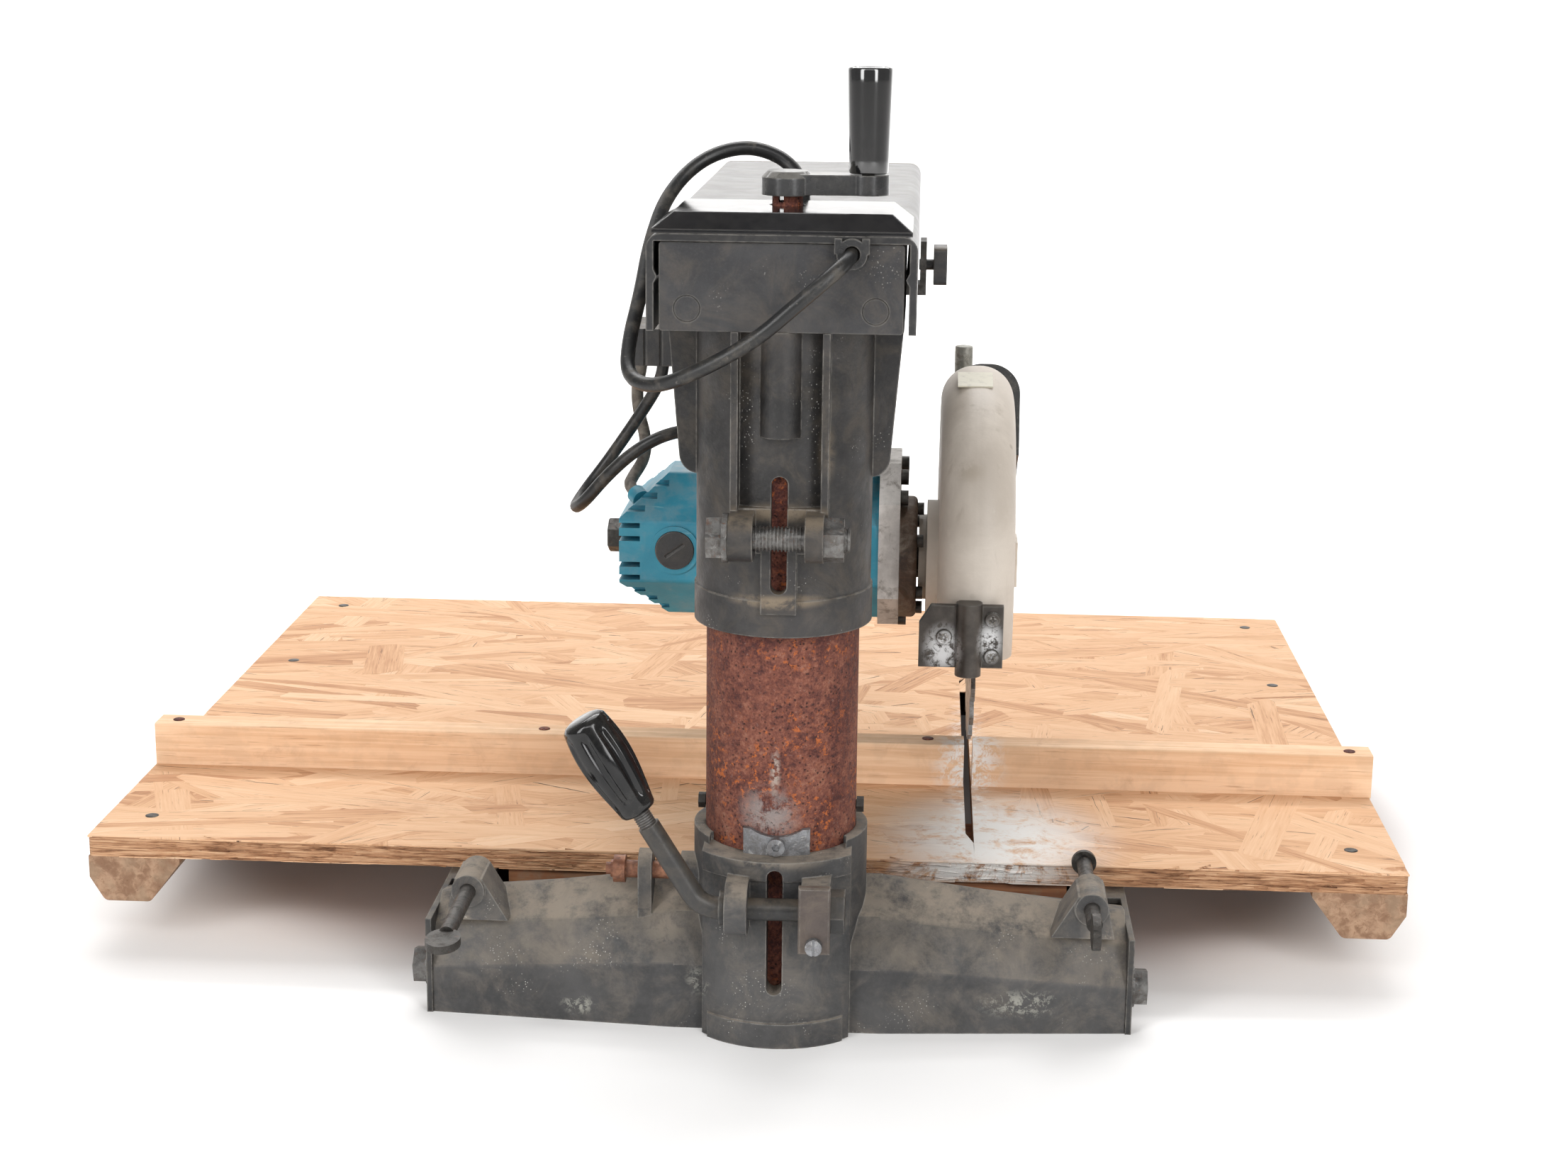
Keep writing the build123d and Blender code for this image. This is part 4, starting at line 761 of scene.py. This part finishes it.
def strand_sheet(name, seed, count, low, high, z, lift, face_up):
    """Layers of flakes over one face of the board, cut to its outline and to the kerf."""
    rng = Random(seed)
    bm = bmesh.new()
    uv = bm.loops.layers.uv.new("grain")
    tone = bm.loops.layers.float_color.new("tone")
    sign = 1 if face_up else -1
    for number in range(count):
        x, y = rng.uniform(low.x, high.x), rng.uniform(low.y, high.y)
        turn = rng.gauss(0, 0.34) if rng.random() < 0.88 else rng.gauss(pi / 2, 0.5)
        outline = flake(rng, x, y, turn, rng.uniform(70, 200), rng.uniform(6, 25))
        own_tone = min(1, max(0, rng.gauss(0.61, 0.125)))
        ragged = rng.uniform(-0.8, 0.8)
        for axis, limit, way in ((0, low.x, 1), (0, high.x, -1), (1, low.y, 1), (1, high.y + ragged, -1)):
            outline = clip(outline, axis, limit, way) if len(outline) > 2 else []
        if outline and kerf_ends[1] < y < kerf_ends[0]:
            parts = [clip(outline, 0, kerf[0], -1), clip(outline, 0, kerf[1], 1)]
        else:
            parts = [outline]
        top = z + sign * (0.05 + lift * number / count)
        for part in parts:
            if len(part) < 3:
                continue
            upper = [bm.verts.new((p[0] * MM, p[1] * MM, top * MM)) for p in part]
            lower = [bm.verts.new((p[0] * MM, p[1] * MM, (z - sign * 0.4) * MM)) for p in part]
            made = [bm.faces.new(upper)]
            pairs = list(zip(range(len(part)), [*range(1, len(part)), 0]))
            made += [bm.faces.new((upper[j], upper[i], lower[i], lower[j])) for i, j in pairs]
            where = {v: p for v, p in zip(upper + lower, part + part)}
            for face in made:
                for loop in face.loops:
                    loop[uv].uv = where[loop.vert][2:]
                    loop[tone] = (own_tone, own_tone, own_tone, 1)
    bmesh.ops.recalc_face_normals(bm, faces=bm.faces)
    mesh = bpy.data.meshes.new(name)
    bm.to_mesh(mesh)
    bm.free()
    piece = link(bpy.data.objects.new(name, mesh))
    mesh.materials.append(MATERIALS["strand"])
    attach(piece, "base")
    return piece


strand_sheet("top_strands", 11, 3200, board_low, board_high, board_high.z, 0.55, True)
strand_sheet("under_strands", 12, 900, board_low, board_high, board_low.z, 0.2, False)


def edge_splinters():
    """Torn fibres that stand off the board's rear edge and its upper corner."""
    rng = Random(5)
    verts, faces = [], []
    prism = ((0, 2, 1), (3, 4, 5), (0, 1, 4, 3), (1, 2, 5, 4), (2, 0, 3, 5))
    for _ in range(260):
        x = rng.uniform(board_low.x + 14, board_high.x - 14)
        length, thick = rng.uniform(4, 26), rng.uniform(0.25, 0.8)
        tilt = rng.gauss(0, 0.09)
        z = rng.uniform(board_low.z + 0.8, board_high.z + 0.1)
        out = rng.uniform(0.3, 1.6)
        start = len(verts)
        for t, spread in ((-0.5, 1.0), (0.5, 0.4)):
            for dy, dz in ((-0.8, -thick), (out, -thick * 0.3), (-0.8, thick)):
                rise = dz * (1 - abs(t) * 0.5) + t * length * tilt
                verts.append((x + t * length, board_high.y + dy * spread, z + rise))
        faces += [tuple(start + corner for corner in face) for face in prism]
    return mesh_piece("edge_splinters", verts, faces, "base", MATERIALS["board_edge"])


edge_splinters()


# --- turned and fluted grips ------------------------------------------------------------
def turned(name, foot, axis, profile, body, material, around=64, shape=None):
    """A turned piece: (along, radius) stations in millimetres on an axis, closed at both ends.

    shape(along, turn) may take something off the radius, as flutes do.
    """
    axis = Vector(axis).normalized()
    side = axis.orthogonal().normalized()
    across = axis.cross(side)
    verts, faces = [], []
    for along, radius in profile:
        for k in range(around):
            turn = 2 * pi * k / around
            reach = radius - (shape(along, turn) if shape else 0)
            verts.append(Vector(foot) + axis * along + (side * cos(turn) + across * sin(turn)) * reach)
    for row in range(len(profile) - 1):
        here, there = row * around, (row + 1) * around
        for k in range(around):
            after = (k + 1) % around
            faces.append((here + k, here + after, there + after, there + k))
    last = (len(profile) - 1) * around
    faces.append(tuple(range(around))[::-1])
    faces.append(tuple(range(last, last + around)))
    return mesh_piece(name, verts, faces, body, material, smooth=True)


def grip_place():
    """The mitre grip's foot, axis and length, from its CAD box and the lever's slope."""
    low, high = (Vector(c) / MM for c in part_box("mitre_grip"))
    axis = Vector((30, 0, 49)).normalized()
    centre = (low + high) / 2
    length = 54.0
    return centre - axis * length / 2, axis, length


def fluted_grip():
    """A barrel grip with eight hollow flutes that die out before its rims."""
    foot, axis, length = grip_place()
    stations = [(0, 7.6), (0.3, 8.4), (1.2, 9.0)]
    for step in range(33):
        t = step / 32
        stations.append((1.6 + (length - 4.2) * t, 9.3 + 4.1 * sin(pi * min(1, t * 0.86) ** 1.15)))
    rim = stations[-1][1]
    stations += [(length - 1.8, rim - 0.7), (length - 0.7, rim - 2.0), (length, rim - 4.4)]

    def flute(along, turn):
        fade = max(0.0, min(1.0, (along - 5) / 6, (length - 5 - along) / 5))
        return 1.5 * fade * fade * (3 - 2 * fade) * max(0.0, cos(turn * 8)) ** 0.8

    black = MATERIALS["bakelite"]
    piece = turned("fluted_grip", foot, axis, stations, "mitre_lock", black, 128, flute)
    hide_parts("mitre_grip")


def crank_grip():
    """The crank's tapered knob, with a rounded rim and a shallow dish in its top."""
    low, high = (Vector(c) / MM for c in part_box("crank_knob"))
    centre = (low + high) / 2
    foot = Vector((centre.x, centre.y, low.z))
    height, top_r, foot_r = high.z - low.z, (high.x - low.x) / 2, 9.4
    stations = [(0, 3.2), (0, foot_r - 0.8), (0.3, foot_r - 0.2), (0.9, foot_r)]
    stations += [(0.9 + (height - 2.4) * n / 8, foot_r + (top_r - foot_r) * n / 8) for n in range(1, 9)]
    stations += [(height - 0.7, top_r - 0.15), (height - 0.2, top_r - 0.6), (height, top_r - 1.2)]
    stations += [(height - 0.1, top_r - 2.0), (height - 1.1, top_r - 2.5), (height - 1.3, 1.0)]
    gloss = MATERIALS["knob_gloss"]
    piece = turned("crank_knob_grip", foot, (0, 0, 1), stations, "crank_grip", gloss, 96)
    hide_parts("crank_knob")


def thread(name, foot, axis, radius, length, pitch, body, material):
    """A rolled thread: sharp crests and roots, one after another."""
    stations = [(0, radius - 0.7)]
    for turn in range(int(length / pitch)):
        stations += [(turn * pitch + pitch * 0.15, radius - 0.6), (turn * pitch + pitch * 0.5, radius)]
        stations += [(turn * pitch + pitch * 0.6, radius), (turn * pitch + pitch * 0.95, radius - 0.6)]
    stations.append((length, radius - 0.7))
    return turned(name, foot, axis, stations, body, material, 40)


def lever_thread():
    """The threaded stud between the lever's shoulder and its grip."""
    foot, axis, _ = grip_place()
    radius, length, pitch = 4.6, 8.4, 1.25
    start = foot - axis * (length - 0.2)
    zinc = MATERIALS["zinc"]
    thread("lever_thread", start, axis, radius, length, pitch, "mitre_lock", zinc)


fluted_grip()
crank_grip()
lever_thread()


# --- screw heads on the guard's bracket -------------------------------------------------
def cross_head(name, place, turn, body, material):
    """A pan head facing +Y with a cross recess."""
    x, y, z = place
    rings = [(4.3, 0.0), (4.35, 0.5), (3.9, 1.5), (2.9, 2.1)]
    around = 48
    verts, faces = [], []
    for radius, out in rings:
        for k in range(around):
            t = 2 * pi * k / around
            verts.append((x + radius * cos(t), y + out, z + radius * sin(t)))
    for depth, reach in ((2.3, 2.4), (1.0, 1.9)):
        for k in range(around):
            t = 2 * pi * k / around
            arm = max(abs(cos(t - turn)), abs(sin(t - turn)))
            star = reach if arm > 0.94 else reach * 0.42
            verts.append((x + star * cos(t), y + depth, z + star * sin(t)))
    for row in range(len(rings) + 1):
        here, there = row * around, (row + 1) * around
        for k in range(around):
            after = (k + 1) % around
            faces.append((here + k, there + k, there + after, here + after))
    last = (len(rings) + 1) * around
    faces.append(tuple(range(last, last + around))[::-1])
    faces.append(tuple(range(around)))
    return mesh_piece(name, verts, faces, body, material)


bracket_face = -89.2
bracket_heads = ((-81.5, 177, 0.35), (-107.1, 187, 0.1), (-107.1, 166.5, 0.6))
for number, (x, z, turn) in enumerate(bracket_heads, start=1):
    place = (x, bracket_face, z)
    cross_head(f"bracket_screw_{number}", place, turn, "guard", MATERIALS["screw_steel"])


# --- small fixings on the table ---------------------------------------------------------
def domed_heads(name, places, radius, height, body, material):
    """Low domed heads standing up at places in millimetres."""
    verts, faces = [], []
    sides = 20
    rings = ((1.0, 0.0), (0.97, 0.45), (0.75, 0.8), (0.4, 0.97))
    for x, y, z in places:
        start = len(verts)
        for r, h in rings:
            for k in range(sides):
                turn = 2 * pi * k / sides
                verts.append((x + radius * r * cos(turn), y + radius * r * sin(turn), z + height * h))
        verts.append((x, y, z + height))
        for ring in range(len(rings) - 1):
            for k in range(sides):
                a, b = start + ring * sides, start + (ring + 1) * sides
                nxt = (k + 1) % sides
                faces.append((a + k, a + nxt, b + nxt, b + k))
        top = start + (len(rings) - 1) * sides
        faces += [(top + k, top + (k + 1) % sides, start + len(rings) * sides) for k in range(sides)]
        faces.append(tuple(range(start + sides - 1, start - 1, -1)))
    return mesh_piece(name, verts, faces, body, material, smooth=True)


screw_rows = [(x, y, board_high.z + 0.3) for x in (354.5, -304.5) for y in (-90, -235, -410, -560)]
domed_heads("table_screws", screw_rows, 3.8, 0.9, "base", MATERIALS["dark_steel"])
fence_high = Vector(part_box("left_fence")[1]) / MM
nail_places = ((fence_high.x - 12, -190), (-318, -189), (-75, -192), (150, -191))
nail_rows = [(x, y, fence_high.z) for x, y in nail_places]
domed_heads("fence_nails", nail_rows, 3.4, 0.8, "base", MATERIALS["brown_rust"])


# --- guard label ------------------------------------------------------------------------
def guard_label():
    """A thin blank plate that follows the guard's rim behind its top."""
    centre = Vector((0, -205.0, 193.5))
    first, last = radians(72), radians(83)
    verts, faces = [], []
    steps = 10
    for step in range(steps + 1):
        turn = first + (last - first) * step / steps
        for r in (110.3, 111.1):
            for x in (-106.0, -86.5):
                verts.append(centre + Vector((x, r * cos(turn), r * sin(turn))))
    for step in range(steps):
        a, b = step * 4, step * 4 + 4
        faces += [(a + 2, a + 3, b + 3, b + 2), (a, b, b + 1, a + 1)]
        faces += [(a, a + 2, b + 2, b), (a + 1, b + 1, b + 3, a + 3)]
    faces += [(0, 1, 3, 2), (steps * 4, steps * 4 + 2, steps * 4 + 3, steps * 4 + 1)]
    mesh_piece("guard_label", verts, faces, "guard", MATERIALS["label"])


guard_label()


# --- stage and light --------------------------------------------------------------------
def make_stage():
    """A pale floor that gives off a little light of its own, with a painted shadow under the table where
    it is darker and gives off less, curving up into a wall far behind. Metres.
    """
    s = Shader("stage_paper")
    tint = s.noise(0.7, 3)
    # Painted shadow: the paper's colour darkens under the table.
    painted_shadow_under_table = s.window(s.near((22, -330, 0), (520, 410, 300)), 0.08, 0.4)
    paper = s.mix(tint, (0.86, 0.855, 0.85), (0.9, 0.895, 0.89))
    s.set(Base_Color=s.mix(painted_shadow_under_table, paper, (0.40, 0.335, 0.315)), Roughness=0.9)
    # The paper's own emission, cut down under the table as part of the painted shadow.
    emission_with_painted_shadow = s.window(painted_shadow_under_table, 0, 1, (0.12, 0.03))
    s.set(Emission_Color=(1.0, 0.96, 0.93, 1), Emission_Strength=emission_with_painted_shadow)
    verts, faces = [], []
    front, fold, bend, height, half_width = 7.0, -3.6, 1.0, 6.0, 10.0
    outline = [(front, 0.0), (fold, 0.0)]
    outline += [(fold - bend * sin(radians(a)), bend - bend * cos(radians(a))) for a in range(10, 91, 10)]
    outline += [(fold - bend, height)]
    for y, z in outline:
        verts += [(-half_width / MM, y / MM, z / MM), (half_width / MM, y / MM, z / MM)]
    faces = [(i * 2, i * 2 + 1, i * 2 + 3, i * 2 + 2) for i in range(len(outline) - 1)]
    mesh = bpy.data.meshes.new("sweep")
    mesh.from_pydata([Vector(v) * MM for v in verts], [], faces)
    mesh.shade_smooth()
    mesh.materials.append(s.material)
    link(bpy.data.objects.new("sweep", mesh))


def softbox(name, place, aim, size, power):
    data = bpy.data.lights.new(name, "AREA")
    data.shape = "RECTANGLE"
    data.size, data.size_y = size
    data.energy = power
    lamp = link(bpy.data.objects.new(name, data))
    lamp.location = place
    lamp.rotation_euler = (Vector(aim) - Vector(place)).to_track_quat("-Z", "Y").to_euler()


def make_light():
    """Two tall boxes either side of the camera, one behind overhead, and washes for the paper."""
    world = bpy.data.worlds.new("studio")
    bpy.context.scene.world = world
    world.use_nodes = True
    background = world.node_tree.nodes["Background"]
    background.inputs[0].default_value = (1.0, 1.0, 1.0, 1)
    background.inputs[1].default_value = 0.23
    softbox("left_box", (1.5, 1.8, 1.25), (0, 0, 0.25), (0.75, 1.9), 31)
    softbox("right_box", (-1.25, 1.9, 1.2), (0, 0, 0.25), (0.6, 1.9), 27)
    softbox("overhead", (0.1, -1.15, 2.3), (0, -0.15, 0.1), (2.4, 1.2), 29)
    softbox("floor_wash", (0.0, 2.6, 2.2), (0, 0.9, 0.0), (3.0, 0.5), 18)
    softbox("back_wash", (0.0, -2.3, 2.7), (0, -3.7, 0.0), (5.0, 1.0), 150)


make_stage()
make_light()
bpy.context.scene.view_settings.view_transform = "Standard"
